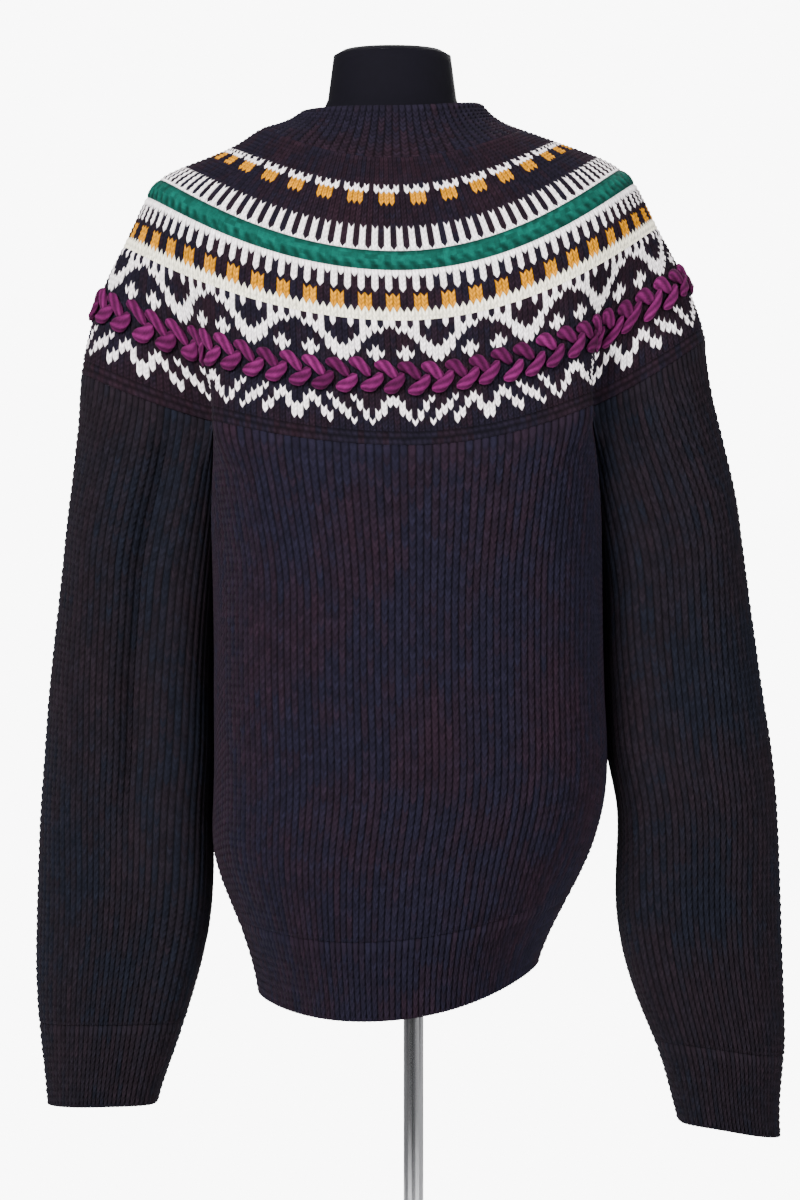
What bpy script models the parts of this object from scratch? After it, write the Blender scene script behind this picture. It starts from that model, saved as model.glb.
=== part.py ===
"""Round-yoke wool sweater on a limbless dress form with a pole stand.

Metres, +Z up, origin on the floor at the middle of the stand's base, front towards -Y.
Every knitted piece is a hollow wall between an outer grid and an inner grid. Both are read
from one surface: the yoke and collar from four profiles (front, back and two sides), the
body and sleeves from tables of level sections. Rows run from the top edge (0) to the lower
edge (1), columns run from the middle of the front (0) past +X (0.25) round to the back.
"""

import math
from functools import partial

import bmesh
import bpy
import numpy as np

# Cloth
WALL = 0.0030
RIB_RISE = 0.0015

# Clear gaps: band seams, yoke to sleeve, arm to body, form to yoke, collar, yoke edge, sides
SEAM_GAP = 0.0003
SLEEVE_SEAM_GAP = 0.0008
ARM_GAP = 0.0010
SEAT_GAP = 0.0004
COLLAR_GAP = 0.0007
EDGE_GAP = 0.0005
SIDE_GAP = 0.0005
VALLEY_GAP = 0.0009

# Yoke and collar
YOKE_COLUMNS = 128
YOKE_DEPTH_SIDE = 0.2470
YOKE_SLIP = 0.055
YOKE_LEAN = 0.008
YOKE_POWER_TOP = 2.2
YOKE_POWER_EDGE = 2.0
COLLAR_COLUMNS = 64
NECK_X = -0.0170
YOKE_EDGE_X = -0.0050
BAND_RISE = 0.0016
BAND_DIP = 0.4
BRAID_RISE = 0.0032

# Body, with the places where the sleeves leave it
BODY_COLUMNS = 144
FRONT_VALLEY = 20 / 128
BACK_VALLEY = 44 / 128
VALLEY_COLUMN = 24
VALLEY_SPREAD = 0.03
UNDERARM_HEIGHT = 0.9150
UNDERARM_POWER = 1.6
BODY_LENGTH = 0.3600
BODY_FADE = 0.1300
CORNER_FADE = 0.0450
CORNER_SPREAD = 0.06
HEM_BAND = 0.0620
HEM_SIDE_HEIGHT = 0.5600
HEM_TILT = 0.0120
HEM_FRONT_DROP = 0.0240
HEM_BACK_DROP = 0.0150

# Sleeves
SLEEVE_COLUMNS = 60
SLEEVE_VALLEY = 0.10
ARM_EASE = 0.05
SLEEVE_LENGTH = 0.4600
SLEEVE_FADE = 0.1400
CUFF_BAND = 0.0650
RIB_FADE = 0.0300
UNDERARM_RIB_FADE = 0.2500
UNDERARM_COLUMNS = 0.10
UNDERARM_EDGE = 1.2

# Stand
POLE_RADIUS = 0.0080
BASE_RADIUS = 0.1700
BASE_THICKNESS = 0.0080
BASE_EDGE = 0.0020
SOCKET_RADIUS = 0.0170
SOCKET_HEIGHT = 0.0300
BASE_STEPS = 36
TORSO_COLUMNS = 32
TORSO_FRONT_EASE = 0.0060

# points round a worked-out ring, and the steps that give a surface its normals
DENSE = 720
TURN_STEP = 0.008
ROW_STEP = 1e-4

# reach from the middle, height
FRONT_PROFILE = (
    (0.0620, 1.2480),
    (0.0705, 1.2260),
    (0.0850, 1.2040),
    (0.1030, 1.1630),
    (0.1160, 1.1250),
    (0.1245, 1.0800),
    (0.1300, 1.0300),
    (0.1320, 0.9786),
)
SIDE_PROFILE = (
    (0.0710, 1.2560),
    (0.0860, 1.2445),
    (0.1080, 1.2360),
    (0.1410, 1.2190),
    (0.1720, 1.2070),
    (0.1900, 1.1940),
    (0.1990, 1.1780),
    (0.2130, 1.1490),
    (0.2280, 1.1200),
    (0.2430, 1.0800),
    (0.2500, 1.0525),
    (0.2535, 1.0350),
)
BACK_PROFILE = (
    (0.0620, 1.2600),
    (0.0680, 1.2430),
    (0.0780, 1.2260),
    (0.1000, 1.1800),
    (0.1150, 1.1250),
    (0.1210, 1.0650),
    (0.1235, 1.0030),
)
COLLAR_BASE_ROW = 2

# angle from the front in degrees, column of the ring; columns are evenly spaced in between
RING_ANCHORS = (
    (0.0, 0.0),
    (65.2, FRONT_VALLEY),
    (115.2, BACK_VALLEY),
    (180.0, 0.5),
    (244.8, 1.0 - BACK_VALLEY),
    (294.8, 1.0 - FRONT_VALLEY),
    (360.0, 1.0),
)

# angle from the front, depth, half width of the fold, share of the yoke where it starts
YOKE_FOLDS = (
    (66.5, 0.0440, 8.5, 0.50),
    (114.0, 0.0400, 8.5, 0.50),
    (246.0, 0.0400, 8.5, 0.50),
    (293.5, 0.0460, 8.0, 0.48),
    (283.0, 0.0050, 3.5, 0.42),
)

# height, middle x, half width, front depth, back depth, power
BODY_SECTIONS = (
    (1.0400, -0.0050, 0.1490, 0.1310, 0.1235, 3.4),
    (0.9000, -0.0050, 0.1495, 0.1330, 0.1250, 3.2),
    (0.7800, -0.0050, 0.1495, 0.1340, 0.1260, 3.0),
    (0.7000, -0.0050, 0.1490, 0.1320, 0.1240, 2.9),
    (0.6600, -0.0080, 0.1440, 0.1295, 0.1210, 2.7),
    (0.6200, -0.0120, 0.1310, 0.1250, 0.1160, 2.5),
    (0.5800, -0.0145, 0.1160, 0.1180, 0.1100, 2.3),
    (0.5400, -0.0145, 0.1080, 0.1120, 0.1050, 2.2),
    (0.5200, -0.0145, 0.1070, 0.1110, 0.1040, 2.2),
)

# height, middle x, middle y, half width, half depth, power
SLEEVE_SECTIONS = {
    "sleeve_right": (
        (1.0600, 0.1945, 0.0000, 0.0500, 0.0660, 3.20),
        (0.9400, 0.2045, 0.0000, 0.0530, 0.0640, 2.70),
        (0.8600, 0.2100, 0.0000, 0.0570, 0.0610, 2.40),
        (0.7800, 0.2160, -0.0020, 0.0615, 0.0580, 2.30),
        (0.7000, 0.2245, -0.0040, 0.0625, 0.0540, 2.25),
        (0.6200, 0.2280, -0.0060, 0.0630, 0.0500, 2.20),
        (0.5400, 0.2376, -0.0080, 0.0570, 0.0440, 2.20),
        (0.5000, 0.2456, -0.0090, 0.0490, 0.0400, 2.20),
        (0.4600, 0.2495, -0.0100, 0.0415, 0.0360, 2.20),
        (0.4250, 0.2545, -0.0100, 0.0375, 0.0340, 2.20),
    ),
    "sleeve_left": (
        (1.0600, -0.2090, 0.0000, 0.0540, 0.0660, 3.20),
        (0.9400, -0.2165, 0.0000, 0.0575, 0.0640, 2.70),
        (0.8600, -0.2210, 0.0000, 0.0610, 0.0610, 2.40),
        (0.7800, -0.2255, -0.0020, 0.0640, 0.0580, 2.30),
        (0.7000, -0.2290, -0.0040, 0.0660, 0.0540, 2.25),
        (0.6200, -0.2310, -0.0060, 0.0680, 0.0500, 2.20),
        (0.5400, -0.2390, -0.0080, 0.0600, 0.0440, 2.20),
        (0.5000, -0.2435, -0.0090, 0.0515, 0.0400, 2.20),
        (0.4600, -0.2480, -0.0100, 0.0430, 0.0360, 2.20),
        (0.4250, -0.2500, -0.0100, 0.0400, 0.0340, 2.20),
    ),
}
# height of the cuff's edge at its middle, and how much lower it lies on the outer side
CUFF_EDGES = {
    "sleeve_right": (0.4400, 0.0070),
    "sleeve_left": (0.4600, 0.0010),
}
# columns from the front towards the outer side, depth, half width, top and foot heights
SLEEVE_FOLDS = {
    "sleeve_right": (
        (-0.020, 0.0060, 0.030, 1.0000, 0.7000),
        (0.430, 0.0060, 0.034, 1.0000, 0.6400),
    ),
    "sleeve_left": (
        (-0.015, 0.0110, 0.028, 1.0400, 0.6500),
        (0.450, 0.0070, 0.034, 1.0200, 0.6400),
    ),
}

# height at front, side and back, half width, front depth, back depth, middle x
NECK_RINGS = (
    (1.3000, 1.3000, 1.3000, 0.0200, 0.0200, 0.0200, -0.0170),
    (1.2985, 1.2985, 1.2985, 0.0400, 0.0390, 0.0390, -0.0170),
    (1.2945, 1.2945, 1.2945, 0.0470, 0.0460, 0.0460, -0.0170),
    (1.2750, 1.2750, 1.2750, 0.0495, 0.0485, 0.0485, -0.0170),
    (1.2560, 1.2600, 1.2620, 0.0515, 0.0500, 0.0500, -0.0170),
    (1.2360, 1.2490, 1.2480, 0.0560, 0.0520, 0.0520, -0.0170),
    (1.2180, 1.2400, 1.2340, 0.0700, 0.0590, 0.0570, -0.0170),
)
# rows of the yoke that the shoulders follow, and how much lower than their seat they lie
TORSO_SHOULDER_ROWS = (0.0, 0.12, 0.25, 0.34, 0.42)
TORSO_FALL = (0.0004, 0.0, 0.0, 0.0004, 0.0030)
TORSO_RINGS = (
    (1.0850, 1.1600, 1.1000, 0.1840, 0.1140, 0.1060, -0.0150),
    (1.0450, 1.1000, 1.0600, 0.1690, 0.1170, 0.1080, -0.0130),
    (0.9900, 1.0250, 1.0000, 0.1380, 0.1180, 0.1090, -0.0090),
    (0.9300, 0.9400, 0.9300, 0.1300, 0.1170, 0.1080, -0.0060),
    (0.8000, 0.8000, 0.8000, 0.1240, 0.1130, 0.1050, -0.0050),
    (0.6800, 0.6800, 0.6800, 0.1180, 0.1080, 0.1010, -0.0060),
    (0.6150, 0.6150, 0.6150, 0.1040, 0.1000, 0.0930, -0.0100),
    (0.6000, 0.6000, 0.6000, 0.0960, 0.0940, 0.0870, -0.0100),
    (0.5950, 0.5950, 0.5950, 0.0840, 0.0840, 0.0780, -0.0100),
)

# shares of each piece, from its top edge to its lower edge, where its rows of points lie
YOKE_ROWS = (
    *(0.0, 0.12, 0.25, 0.345, 0.36, 0.405, 0.42, 0.50),
    *(0.60, 0.72, 0.74, 0.78, 0.82, 0.84, 0.92, 1.0),
)
YOKE_INNER_ROWS = (0.0, 0.12, 0.25, 0.34, 0.42, 0.54, 0.69, 0.84, 1.0)
BAND_ROWS = (4, 5)
BRAID_TOP_ROW, BRAID_MIDDLE_ROW, BRAID_LOW_ROW = 10, 11, 12
COLLAR_ROWS = (0.0, 0.35, 0.70, 1.0)
COLLAR_INNER_ROWS = (0.0, 0.5, 1.0)
BODY_ROWS = (0.0, 0.06, 0.22, 0.45, 0.66, 0.80, 0.90, 1.0)
BODY_INNER_ROWS = (0.0, 0.06, 0.22, 0.45, 0.66, 0.80, 1.0)
HEM_ROWS = (0.0, 0.5, 1.0)
SLEEVE_ROWS = (0.0, 0.06, 0.20, 0.36, 0.54, 0.72, 0.86, 1.0)
SLEEVE_INNER_ROWS = (0.0, 0.06, 0.20, 0.36, 0.60, 1.0)
CUFF_ROWS = (0.0, 0.5, 1.0)

AUBERGINE = (0.022, 0.014, 0.022)
YOKE_MIX = (0.110, 0.085, 0.095)
FORM_BLACK = (0.010, 0.010, 0.017)
CHROME = (0.550, 0.550, 0.560)
STEEL = (0.420, 0.420, 0.430)


def material(name, colour, roughness, metallic):
    """A Principled material of one colour."""
    made = bpy.data.materials.new(name)
    made.use_nodes = True
    shader = made.node_tree.nodes["Principled BSDF"]
    shader.inputs["Base Color"].default_value = (*colour, 1.0)
    shader.inputs["Roughness"].default_value = roughness
    shader.inputs["Metallic"].default_value = metallic
    return made


def smooth(share):
    """Ease from 0 to 1 with level ends."""
    share = np.clip(share, 0.0, 1.0)
    return share * share * (3.0 - 2.0 * share)


def spline(knots, values, at):
    """Natural cubic spline through the values at the knots, read at the given places."""
    knots = np.asarray(knots, float)
    values = np.asarray(values, float)
    count = len(knots)
    steps = np.diff(knots)
    slopes = np.diff(values, axis=0) / steps[:, None]
    system = np.eye(count)
    wanted = np.zeros_like(values)
    for i in range(1, count - 1):
        system[i, i - 1] = steps[i - 1]
        system[i, i] = 2.0 * (steps[i - 1] + steps[i])
        system[i, i + 1] = steps[i]
        wanted[i] = 6.0 * (slopes[i] - slopes[i - 1])
    bends = np.linalg.solve(system, wanted)
    at = np.clip(np.asarray(at, float), knots[0], knots[-1])
    cell = np.clip(np.searchsorted(knots, at, side="right") - 1, 0, count - 2)
    step = steps[cell][..., None]
    left = ((knots[cell + 1] - at) / steps[cell])[..., None]
    right = 1.0 - left
    cubic = (left**3 - left) * bends[cell] + (right**3 - right) * bends[cell + 1]
    return left * values[cell] + right * values[cell + 1] + cubic * step**2 / 6.0


def read_profile(profile, share, depth=None, stretch=1.0):
    """Reach and height at a share of the yoke (0 to 1) or of the collar above it (-1 to 0)."""
    points = np.array(profile)
    lengths = np.concatenate([[0.0], np.cumsum(np.linalg.norm(np.diff(points, axis=0), axis=1))])
    base = lengths[COLLAR_BASE_ROW]
    depth = (lengths[-1] - base) if depth is None else depth
    share = np.asarray(share, float)
    place = np.where(share < 0.0, base * (1.0 + share), base + share * depth * stretch)
    return spline(lengths, points, place)


def polar_reach(angle, half_width, depth, power):
    """Reach of a superellipse at an angle from the front."""
    across = np.abs(np.sin(angle)) / half_width
    along = np.abs(np.cos(angle)) / depth
    return (across**power + along**power) ** (-1.0 / power)


def even_columns(points, columns):
    """Read closed rings at columns that are evenly spaced between the ring's anchors."""
    anchors = np.array(RING_ANCHORS)
    stations = np.round(anchors[:, 0] / 360.0 * (points.shape[1] - 1)).astype(int)
    columns = np.mod(columns, 1.0)
    read = np.empty((len(points), len(columns), 3))
    for ring, line in enumerate(points):
        ahead = np.linalg.norm(np.diff(line, axis=0), axis=1)
        run = np.concatenate([[0.0], np.cumsum(ahead)])
        place = np.interp(columns, anchors[:, 1], run[stations])
        for axis in range(3):
            read[ring, :, axis] = np.interp(place, run, line[:, axis])
    return read


def saddle_ring(front, back, right, left, middle, power, folds=None):
    """Dense rings whose height follows the square of how far out a point lies."""
    angle = np.linspace(0.0, 2.0 * math.pi, DENSE + 1)[None, :]
    on_right = np.sin(angle) >= 0.0
    on_front = np.cos(angle) >= 0.0
    half_width = np.where(on_right, right[:, :1], left[:, :1])
    depth = np.where(on_front, front[:, :1], back[:, :1])
    side_height = np.where(on_right, right[:, 1:], left[:, 1:])
    mid_height = np.where(on_front, front[:, 1:], back[:, 1:])
    reach = polar_reach(angle, half_width, depth, np.reshape(power, (-1, 1)))
    if folds is not None:
        reach = reach - folds(angle)
    out = np.clip(reach * np.abs(np.sin(angle)) / half_width, 0.0, 1.0)
    height = mid_height + (side_height - mid_height) * out**2
    return np.stack([middle[:, None] + reach * np.sin(angle), -reach * np.cos(angle), height], axis=2)


def yoke_surface(rows, columns):
    """Yoke (rows 0 to 1) and collar (rows -1 to 0), as one surface of saddle-shaped rings."""
    rows = np.asarray(rows, float)
    down = np.clip(rows, 0.0, 1.0)
    lean = YOKE_LEAN * down
    right = read_profile(SIDE_PROFILE, rows, YOKE_DEPTH_SIDE, 1.0 - YOKE_SLIP)
    left = read_profile(SIDE_PROFILE, rows, YOKE_DEPTH_SIDE, 1.0 + YOKE_SLIP)
    right[:, 0] -= lean
    left[:, 0] += lean
    middle = NECK_X + (YOKE_EDGE_X - NECK_X) * down

    def folds(angle):
        """Depth of all the folds at an angle, growing towards the lower edge."""
        total = 0.0
        for degrees, depth, width, start in YOKE_FOLDS:
            grown = smooth((rows - start) / (1.0 - start))[:, None]
            off = (np.degrees(angle) - degrees) / width
            total = total + depth * grown * np.exp(-off * off)
        return total

    rings = saddle_ring(
        read_profile(FRONT_PROFILE, rows),
        read_profile(BACK_PROFILE, rows),
        right,
        left,
        middle,
        YOKE_POWER_TOP + (YOKE_POWER_EDGE - YOKE_POWER_TOP) * down,
        folds,
    )
    return even_columns(rings, columns)


def yoke_edge(columns):
    """The yoke's lower edge, dropped by the seam's gap, and a little more in the valleys."""
    edge = yoke_surface([1.0], columns)[0]
    near = np.mod(columns, 1.0)
    near = np.where(near > 0.5, 1.0 - near, near)
    off = np.minimum(np.abs(near - FRONT_VALLEY), np.abs(near - BACK_VALLEY)) / VALLEY_SPREAD
    edge[:, 2] -= EDGE_GAP + VALLEY_GAP * np.exp(-off * off)
    return edge


def even_angles(columns, half_width, front, back, power):
    """Angles of evenly spaced columns round a level section."""
    angle = np.linspace(0.0, 2.0 * math.pi, DENSE + 1)
    depth = np.where(np.cos(angle) >= 0.0, front, back)
    reach = polar_reach(angle, half_width, depth, power)
    line = np.stack([reach * np.sin(angle), -reach * np.cos(angle)], axis=1)
    run = np.concatenate([[0.0], np.cumsum(np.linalg.norm(np.diff(line, axis=0), axis=1))])
    half = DENSE // 2
    columns = np.mod(columns, 1.0)
    place = np.where(
        columns < 0.5,
        run[half] * columns * 2.0,
        run[half] + (run[-1] - run[half]) * (columns * 2.0 - 1.0),
    )
    return np.interp(place, run, angle)


def table_read(table, heights):
    """Smooth values of a section table at any heights, the columns after the first."""
    rows = np.array(table)[::-1]
    return spline(rows[:, 0], rows[:, 1:], heights)


def body_section(columns, heights):
    """Points of the body's level sections."""
    middle, half_width, front, back, power = np.moveaxis(table_read(BODY_SECTIONS, heights), -1, 0)
    angle = even_angles(columns, 0.1495, 0.1330, 0.1250, 3.0)
    depth = np.where(np.cos(angle) >= 0.0, front, back)
    reach = polar_reach(angle, half_width, depth, power)
    return np.stack([middle + reach * np.sin(angle), -reach * np.cos(angle), heights], axis=-1)


def broad_part(values, columns):
    """A ring's values with their corners averaged out over nearby columns."""
    circle = np.arange(DENSE // 3) / (DENSE // 3)
    apart = np.mod(np.asarray(columns)[:, None] - circle[None, :] + 0.5, 1.0) - 0.5
    weights = np.exp(-((apart / CORNER_SPREAD) ** 2))
    return (weights / weights.sum(axis=1, keepdims=True)) @ values(circle)


def fitted(section, top, rows, columns, feet, fade):
    """Level sections led up to a top edge: its broad part fades slowly, its corners soon."""

    def shift(ring):
        """How far the top edge lies from the section at its height."""
        edge = top(ring)
        return edge - section(ring, edge[:, 2])

    edge = top(columns)
    heights = edge[None, :, 2] + (feet - edge[:, 2])[None, :] * rows
    below = edge[None, :, 2] - heights
    broad = broad_part(shift, columns)
    grid = section(np.broadcast_to(columns, heights.shape), heights)
    grid = grid + broad[None] * (1.0 - smooth(below / fade))[:, :, None]
    return grid + (shift(columns) - broad)[None] * (1.0 - smooth(below / CORNER_FADE))[:, :, None]


def underarm_line(columns):
    """Seam under an arm: from the front valley down to the side and up to the back valley."""
    columns = np.mod(columns, 1.0)
    mirrored = columns > 0.5
    near = np.where(mirrored, 1.0 - columns, columns)
    at_back = near > 0.25
    valley = VALLEY_COLUMN / BODY_COLUMNS
    share = np.clip((np.where(at_back, 0.5 - near, near) - valley) / (0.25 - valley), 0.0, 1.0)
    start_column = np.where(at_back, BACK_VALLEY, FRONT_VALLEY)
    start = yoke_edge(np.where(mirrored, 1.0 - start_column, start_column))
    side = body_section(np.where(mirrored, 0.75, 0.25), np.full_like(columns, UNDERARM_HEIGHT))
    line = start + (side - start) * share[:, None]
    line[:, 2] = side[:, 2] + (start[:, 2] - side[:, 2]) * (1.0 - share) ** UNDERARM_POWER
    return line


def body_top(columns):
    """Top edge of the body: the yoke's edge in front and behind, the underarm seams between."""
    columns = np.mod(columns, 1.0)
    signed = np.where(columns > 0.5, columns - 1.0, columns)
    valley = VALLEY_COLUMN / BODY_COLUMNS
    on_front = signed / valley * FRONT_VALLEY
    on_back = 0.5 + (columns - 0.5) / valley * (0.5 - BACK_VALLEY)
    edge = yoke_edge(np.where(np.abs(signed) < 0.25, on_front, on_back))
    under = np.abs(np.abs(signed) - 0.25) < 0.25 - valley
    return np.where(under[:, None], underarm_line(columns), edge)


def hem_height(columns):
    """Height of the hem's edge."""
    angle = np.mod(columns, 1.0) * 2.0 * math.pi
    drop = np.where(np.cos(angle) > 0.0, HEM_FRONT_DROP, HEM_BACK_DROP)
    return HEM_SIDE_HEIGHT + HEM_TILT * np.sin(angle) - drop * np.cos(angle) ** 2


def body_surface(rows, columns):
    """Body from its top edge (0) to the seam of the hem band (1)."""
    rows = np.asarray(rows, float)[:, None]
    feet = hem_height(columns) + HEM_BAND + SEAM_GAP
    return fitted(body_section, body_top, rows, columns, feet, BODY_FADE)


def hem_surface(rows, columns):
    """Hem band from its seam (0) to its edge (1)."""
    rows = np.asarray(rows, float)[:, None]
    low = hem_height(columns)[None, :]
    heights = low + HEM_BAND * (1.0 - rows)
    return body_section(np.broadcast_to(columns, heights.shape), heights)


def sleeve_section(name, columns, heights):
    """Points of a sleeve's level sections, with its long folds pressed in."""
    values = table_read(SLEEVE_SECTIONS[name], heights)
    middle_x, middle_y, half_width, half_depth, power = np.moveaxis(values, -1, 0)
    angle = even_angles(columns, 0.061, 0.058, 0.058, 2.3)
    reach = polar_reach(angle, half_width, half_depth, power)
    outward = np.where(name == "sleeve_right", columns, -columns)
    for place, depth, width, top, foot in SLEEVE_FOLDS[name]:
        off = (np.mod(outward - place + 0.5, 1.0) - 0.5) / width
        grown = smooth((heights - foot) / (0.25 * (top - foot)))
        reach = reach - depth * grown * np.exp(-off * off)
    x = middle_x + reach * np.sin(angle)
    return np.stack([x, middle_y - reach * np.cos(angle), heights], axis=-1)


def sleeve_top(name, columns):
    """Top edge of a sleeve: the yoke's edge outside, the underarm seam inside."""
    right = name == "sleeve_right"
    outward = np.mod(columns if right else -columns, 1.0)
    signed = np.where(outward > 1.0 - SLEEVE_VALLEY, outward - 1.0, outward)
    outer_share = (signed + SLEEVE_VALLEY) / (0.5 + 2.0 * SLEEVE_VALLEY)
    on_yoke = FRONT_VALLEY + outer_share * (BACK_VALLEY - FRONT_VALLEY)
    inner_share = (signed - 0.5 - SLEEVE_VALLEY) / (0.5 - 2.0 * SLEEVE_VALLEY)
    valley = VALLEY_COLUMN / BODY_COLUMNS
    on_body = 0.5 - valley - inner_share * (0.5 - 2.0 * valley)
    sign = 1.0 if right else -1.0
    outer = yoke_edge(sign * on_yoke)
    outer[:, 2] -= SLEEVE_SEAM_GAP - EDGE_GAP
    inner = underarm_line(sign * on_body)
    on_outer = outer_share <= 1.0
    edge = np.where(on_outer[:, None], outer, inner)
    past = np.minimum(outer_share, 1.0 - outer_share) / ARM_EASE
    away = ARM_GAP * np.where(on_outer, np.exp(-past * past), 1.0)
    edge[:, 0] += sign * away
    return edge


def cuff_height(name, columns):
    """Height of a cuff's edge."""
    middle, drop = CUFF_EDGES[name]
    sign = 1.0 if name == "sleeve_right" else -1.0
    return middle - drop * sign * np.sin(np.mod(columns, 1.0) * 2.0 * math.pi)


def sleeve_surface(name):
    """Surface function of a sleeve from its top edge (0) to the cuff's seam (1)."""

    def surface(rows, columns):
        rows = np.asarray(rows, float)[:, None]
        feet = cuff_height(name, columns) + CUFF_BAND + SEAM_GAP
        section = partial(sleeve_section, name)
        return fitted(section, partial(sleeve_top, name), rows, columns, feet, SLEEVE_FADE)

    return surface


def cuff_surface(name):
    """Surface function of a cuff from its seam (0) to its edge (1)."""

    def surface(rows, columns):
        rows = np.asarray(rows, float)[:, None]
        heights = cuff_height(name, columns)[None, :] + CUFF_BAND * (1.0 - rows)
        return sleeve_section(name, np.broadcast_to(columns, heights.shape), heights)

    return surface


def lifted(surface, rows, columns, lift):
    """Points of a surface moved out along its normals by a lift, a number or a grid."""
    rows = np.asarray(rows, float)
    columns = np.asarray(columns, float)
    around = surface(rows, columns + TURN_STEP) - surface(rows, columns - TURN_STEP)
    below = surface(np.minimum(rows + ROW_STEP, 1.0), columns)
    above = surface(np.maximum(rows - ROW_STEP, -1.0), columns)
    down = below - above
    normal = np.cross(down, around)
    normal /= np.linalg.norm(normal, axis=2, keepdims=True)
    lift = np.broadcast_to(lift, normal.shape[:2])
    return surface(rows, columns) + normal * lift[:, :, None]


def add_object(collection, name, vertices, faces, finish, sharp):
    """One closed solid as a named object, shaded smooth but for edges sharper than given."""
    mesh = bpy.data.meshes.new(name)
    mesh.from_pydata(vertices, [], faces)
    edit = bmesh.new()
    edit.from_mesh(mesh)
    bmesh.ops.recalc_face_normals(edit, faces=edit.faces)
    edit.to_mesh(mesh)
    edit.free()
    mesh.materials.append(finish)
    mesh.shade_smooth()
    mesh.set_sharp_from_angle(angle=math.radians(sharp))
    made = bpy.data.objects.new(name, mesh)
    collection.objects.link(made)
    return made


def wall(collection, name, outer, inner, closed, finish):
    """Hollow wall between an outer grid and an inner one with as many columns or half of them."""
    outer_rows, outer_columns = outer.shape[:2]
    inner_rows, inner_columns = inner.shape[:2]
    start = outer_rows * outer_columns

    def out(row, column):
        return row * outer_columns + column % outer_columns

    def inn(row, column):
        return start + row * inner_columns + column % inner_columns

    faces = []
    outer_span = outer_columns if closed else outer_columns - 1
    inner_span = inner_columns if closed else inner_columns - 1
    for row in range(outer_rows - 1):
        for column in range(outer_span):
            near, far = out(row, column), out(row, column + 1)
            faces.append((near, out(row + 1, column), out(row + 1, column + 1), far))
    for row in range(inner_rows - 1):
        for column in range(inner_span):
            near, far = inn(row, column), inn(row, column + 1)
            faces.append((near, far, inn(row + 1, column + 1), inn(row + 1, column)))
    ratio = outer_span // inner_span
    middle = ratio // 2
    for column in range(inner_span):
        for outer_row, inner_row in ((0, 0), (outer_rows - 1, inner_rows - 1)):
            near = inn(inner_row, column)
            far = inn(inner_row, column + 1)
            rim = [out(outer_row, ratio * column + step) for step in range(ratio + 1)]
            fan = [(rim[middle], far, near)]
            fan += [(rim[k], rim[k + 1], far if k >= middle else near) for k in range(ratio)]
            faces += fan if outer_row == 0 else [face[::-1] for face in fan]
    if not closed:
        faces.append(
            [out(r, 0) for r in reversed(range(outer_rows))]
            + [inn(r, 0) for r in range(inner_rows)]
        )
        faces.append(
            [out(r, outer_span) for r in range(outer_rows)]
            + [inn(r, inner_span) for r in reversed(range(inner_rows))]
        )
    vertices = np.concatenate([outer.reshape(-1, 3), inner.reshape(-1, 3)])
    return add_object(collection, name, vertices.tolist(), faces, finish, 50)


def rib_lift(rows, columns, length, underarm):
    """Raised every second column; flat at the top seam and longer flat where arm meets body."""
    wave = (np.arange(len(columns)) % 2).astype(float)[None, :]
    reach = RIB_FADE + (UNDERARM_RIB_FADE - RIB_FADE) * underarm
    fade = smooth(np.asarray(rows)[:, None] * length / reach[None, :])
    return RIB_RISE * wave * fade


def build_collar(collection, finish):
    """Ribbed collar above the yoke."""

    def surface(rows, columns):
        return yoke_surface(np.asarray(rows) - 1.0, columns)

    columns = np.arange(COLLAR_COLUMNS) / COLLAR_COLUMNS
    wave = (np.arange(COLLAR_COLUMNS) % 2).astype(float)[None, :]
    level = np.array([1.0, 1.0, 1.0, 0.0])[:, None]
    outer = lifted(surface, COLLAR_ROWS, columns, RIB_RISE * wave * level)
    inner = lifted(surface, COLLAR_INNER_ROWS, columns[::2], -WALL)
    outer[-1, :, 2] += COLLAR_GAP
    inner[-1, :, 2] += COLLAR_GAP
    wall(collection, "collar", outer, inner, True, finish)


def build_yoke(collection, finish):
    """Round yoke with its raised band and the zigzag of the raised braid."""
    columns = np.arange(YOKE_COLUMNS) / YOKE_COLUMNS
    even = (np.arange(YOKE_COLUMNS) % 2 == 0).astype(float)
    lift = np.zeros((len(YOKE_ROWS), YOKE_COLUMNS))
    lift[BAND_ROWS[0]] = BAND_RISE * (1.0 - BAND_DIP * (1.0 - even))
    lift[BAND_ROWS[1]] = BAND_RISE * (1.0 - BAND_DIP * even)
    lift[BRAID_TOP_ROW] = BRAID_RISE * even
    lift[BRAID_MIDDLE_ROW] = BRAID_RISE
    lift[BRAID_LOW_ROW] = BRAID_RISE * (1.0 - even)
    outer = lifted(yoke_surface, YOKE_ROWS, columns, lift)
    inner = lifted(yoke_surface, YOKE_INNER_ROWS, columns, -WALL)
    inner[-1, :, 2] = outer[-1, :, 2]
    wall(collection, "yoke", outer, inner, True, finish)


def build_body(collection, finish):
    """Front and back panels, each from side seam to side seam."""
    quarter = BODY_COLUMNS // 4
    seam_turn = SIDE_GAP / 2.0
    for name, first in (("front", -quarter), ("back", quarter)):
        indexes = np.arange(first, first + 2 * quarter + 1)
        columns = indexes / BODY_COLUMNS
        from_side = np.abs(np.mod(columns, 0.5) - 0.25)
        underarm = smooth(1.0 - from_side / UNDERARM_COLUMNS)
        lift = rib_lift(BODY_ROWS, columns, BODY_LENGTH, underarm)
        outer = lifted(body_surface, BODY_ROWS, columns, lift)
        inner = lifted(body_surface, BODY_INNER_ROWS, columns[::2], -WALL)
        inner[0, :, 2] = outer[0, ::2, 2]
        pull = -1.0 if name == "front" else 1.0
        for grid in (outer, inner):
            grid[:, [0, -1], 1] += pull * seam_turn
        wall(collection, name, outer, inner, False, finish)


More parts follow.
